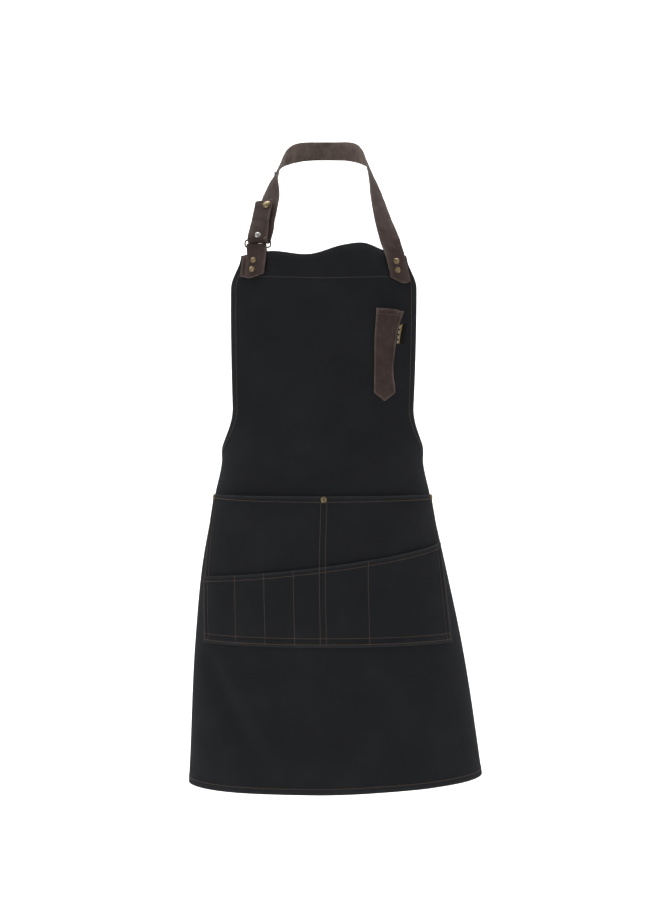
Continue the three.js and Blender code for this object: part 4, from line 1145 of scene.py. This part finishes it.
# ---- bodies, replaced nodes and slots ----
rivetNames = [f"strap_{side}_{level}" for side in ("left", "right") for level in ("upper", "lower")]
rivetNames += [f"pocket_{place}" for place in ("right_hand", "centre", "left_hand")]
pieces = [
    (apronPanel, "apron", "canvas", ["apron_panel"]),
    (bibFacing, "apron", "canvas", ["bib_facing"]),
    (upperPocket, "apron", "canvas", ["upper_pocket"]),
    (lowerPocket, "apron", "canvas", ["lower_pocket"]),
    (penPocket, "apron", "strap_leather", ["pen_pocket"]),
    (labelTag, "label", "label_cloth", ["label_tag"]),
    (patchLeft, "apron", "strap_leather", ["strap_patch_left"]),
    (patchRight, "apron", "strap_leather", ["strap_patch_right"]),
    (strapLoop, "apron", "strap_leather", ["strap_loop_left"]),
    (strapRing, "ring", "ring_metal", ["strap_ring"]),
    (rivetCaps, "apron", "antique_brass", [f"rivet_cap_{name}" for name in rivetNames]),
    (rivetBacks, "apron", "antique_brass", [f"rivet_back_{name}" for name in rivetNames]),
    (snapCap, "flap", "antique_brass", ["snap_cap"]),
    (snapSocket, "flap", "snap_steel", ["snap_socket"]),
    (flapStud, "flap", "snap_steel", ["snap_stud_lower"]),
    (flapPost, "flap", "snap_steel", ["snap_post_lower"]),
    (halterStuds, "halter", "snap_steel", ["snap_stud_middle", "snap_stud_upper"]),
    (halterPosts, "halter", "snap_steel", ["snap_post_middle", "snap_post_upper"]),
    (apronSeams, "apron", "canvas", []),
    (topSeam, "apron", "canvas", []),
    (pocketSeams, "apron", "canvas", []),
    (penSeams, "apron", "strap_leather", []),
    (tieRight, "apron", "canvas", ["waist_tie_right_hand"]),
    (tieLeft, "apron", "canvas", ["waist_tie_left_hand"]),
    (loopRight, "apron", "canvas", ["tie_bow_loop_right_hand"]),
    (loopLeft, "apron", "canvas", ["tie_bow_loop_left_hand"]),
    (tailRight, "tail_right_hand", "canvas", ["tie_tail_right_hand"]),
    (tailLeft, "tail_left_hand", "canvas", ["tie_tail_left_hand"]),
    (knot, "apron", "canvas", ["tie_knot"]),
]
for item, body, slot, nodes in pieces:
    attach(item, body)
    if nodes:
        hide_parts(*nodes)

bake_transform(halterStrap)
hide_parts("neck_strap", "strap_end_right")
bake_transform(strapFlap)
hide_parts("strap_flap")

print("pieces set on their bodies")

# ---- studio ----
studio = {"floorZ": -1.16, "width": 5.0, "back": 2.2, "front": -4.5, "curve": 0.9, "top": 2.6, "world": 0.4,
    "paper": "#f6f6f5"}


# pale paper sweep: floor, curve and wall in one
def paperSweep():
    profile = [(studio["front"], studio["floorZ"])]
    for k in range(13):
        angle = math.pi / 2 * k / 12
        profile.append((studio["back"] - studio["curve"] + studio["curve"] * math.sin(angle),
            studio["floorZ"] + studio["curve"] * (1 - math.cos(angle))))
    profile.append((studio["back"], studio["top"]))
    vertices = [np.array([x, y, z]) / mm for y, z in profile for x in (-studio["width"], studio["width"])]
    faces = [(2 * k, 2 * k + 1, 2 * k + 3, 2 * k + 2) for k in range(len(profile) - 1)]
    material, tree = newMaterial("matt white paper")
    place = addNode(tree, "TexCoord")["Object"]
    fibre = addNode(tree, "TexNoise", {"Vector": place, "Scale": 400.0})[0]
    finishMaterial(material, tree, (fibre, 0.05, 0.5 * mm), {"Base Color": hexColor(studio["paper"]),
        "Roughness": 0.9, "Specular IOR Level": 0.1})
    return newObject("paperSweep", vertices, faces, [material])


def softBox(name, place, target, size, power):
    data = bpy.data.lights.new(name, "AREA")
    data.shape = "RECTANGLE"
    data.size, data.size_y = size
    data.energy = power
    item = bpy.data.objects.new(name, data)
    item.location = place
    direction = np.array(target, float) - np.array(place, float)
    item.rotation_euler = Vector(direction).to_track_quat("-Z", "Y").to_euler()
    bpy.context.collection.objects.link(item)


paperSweep()
softBox("keyLight", (-1.9, -2.6, 0.9), (0, -0.1, -0.45), (1.6, 1.6), 25)
softBox("fillLight", (2.2, -2.4, 0.2), (0, -0.1, -0.5), (1.6, 2.0), 10)
softBox("topLight", (0, 0.3, 1.9), (0, -0.05, -0.4), (2.4, 1.2), 13)
softBox("paperLight", (0, 0.4, 1.6), (0, 2.2, -0.4), (4.0, 0.8), 120)
world = bpy.data.worlds.new("studio")
world.use_nodes = True
world.node_tree.nodes["Background"].inputs[0].default_value = (1, 1, 1, 1)
world.node_tree.nodes["Background"].inputs[1].default_value = studio["world"]
bpy.context.scene.world = world

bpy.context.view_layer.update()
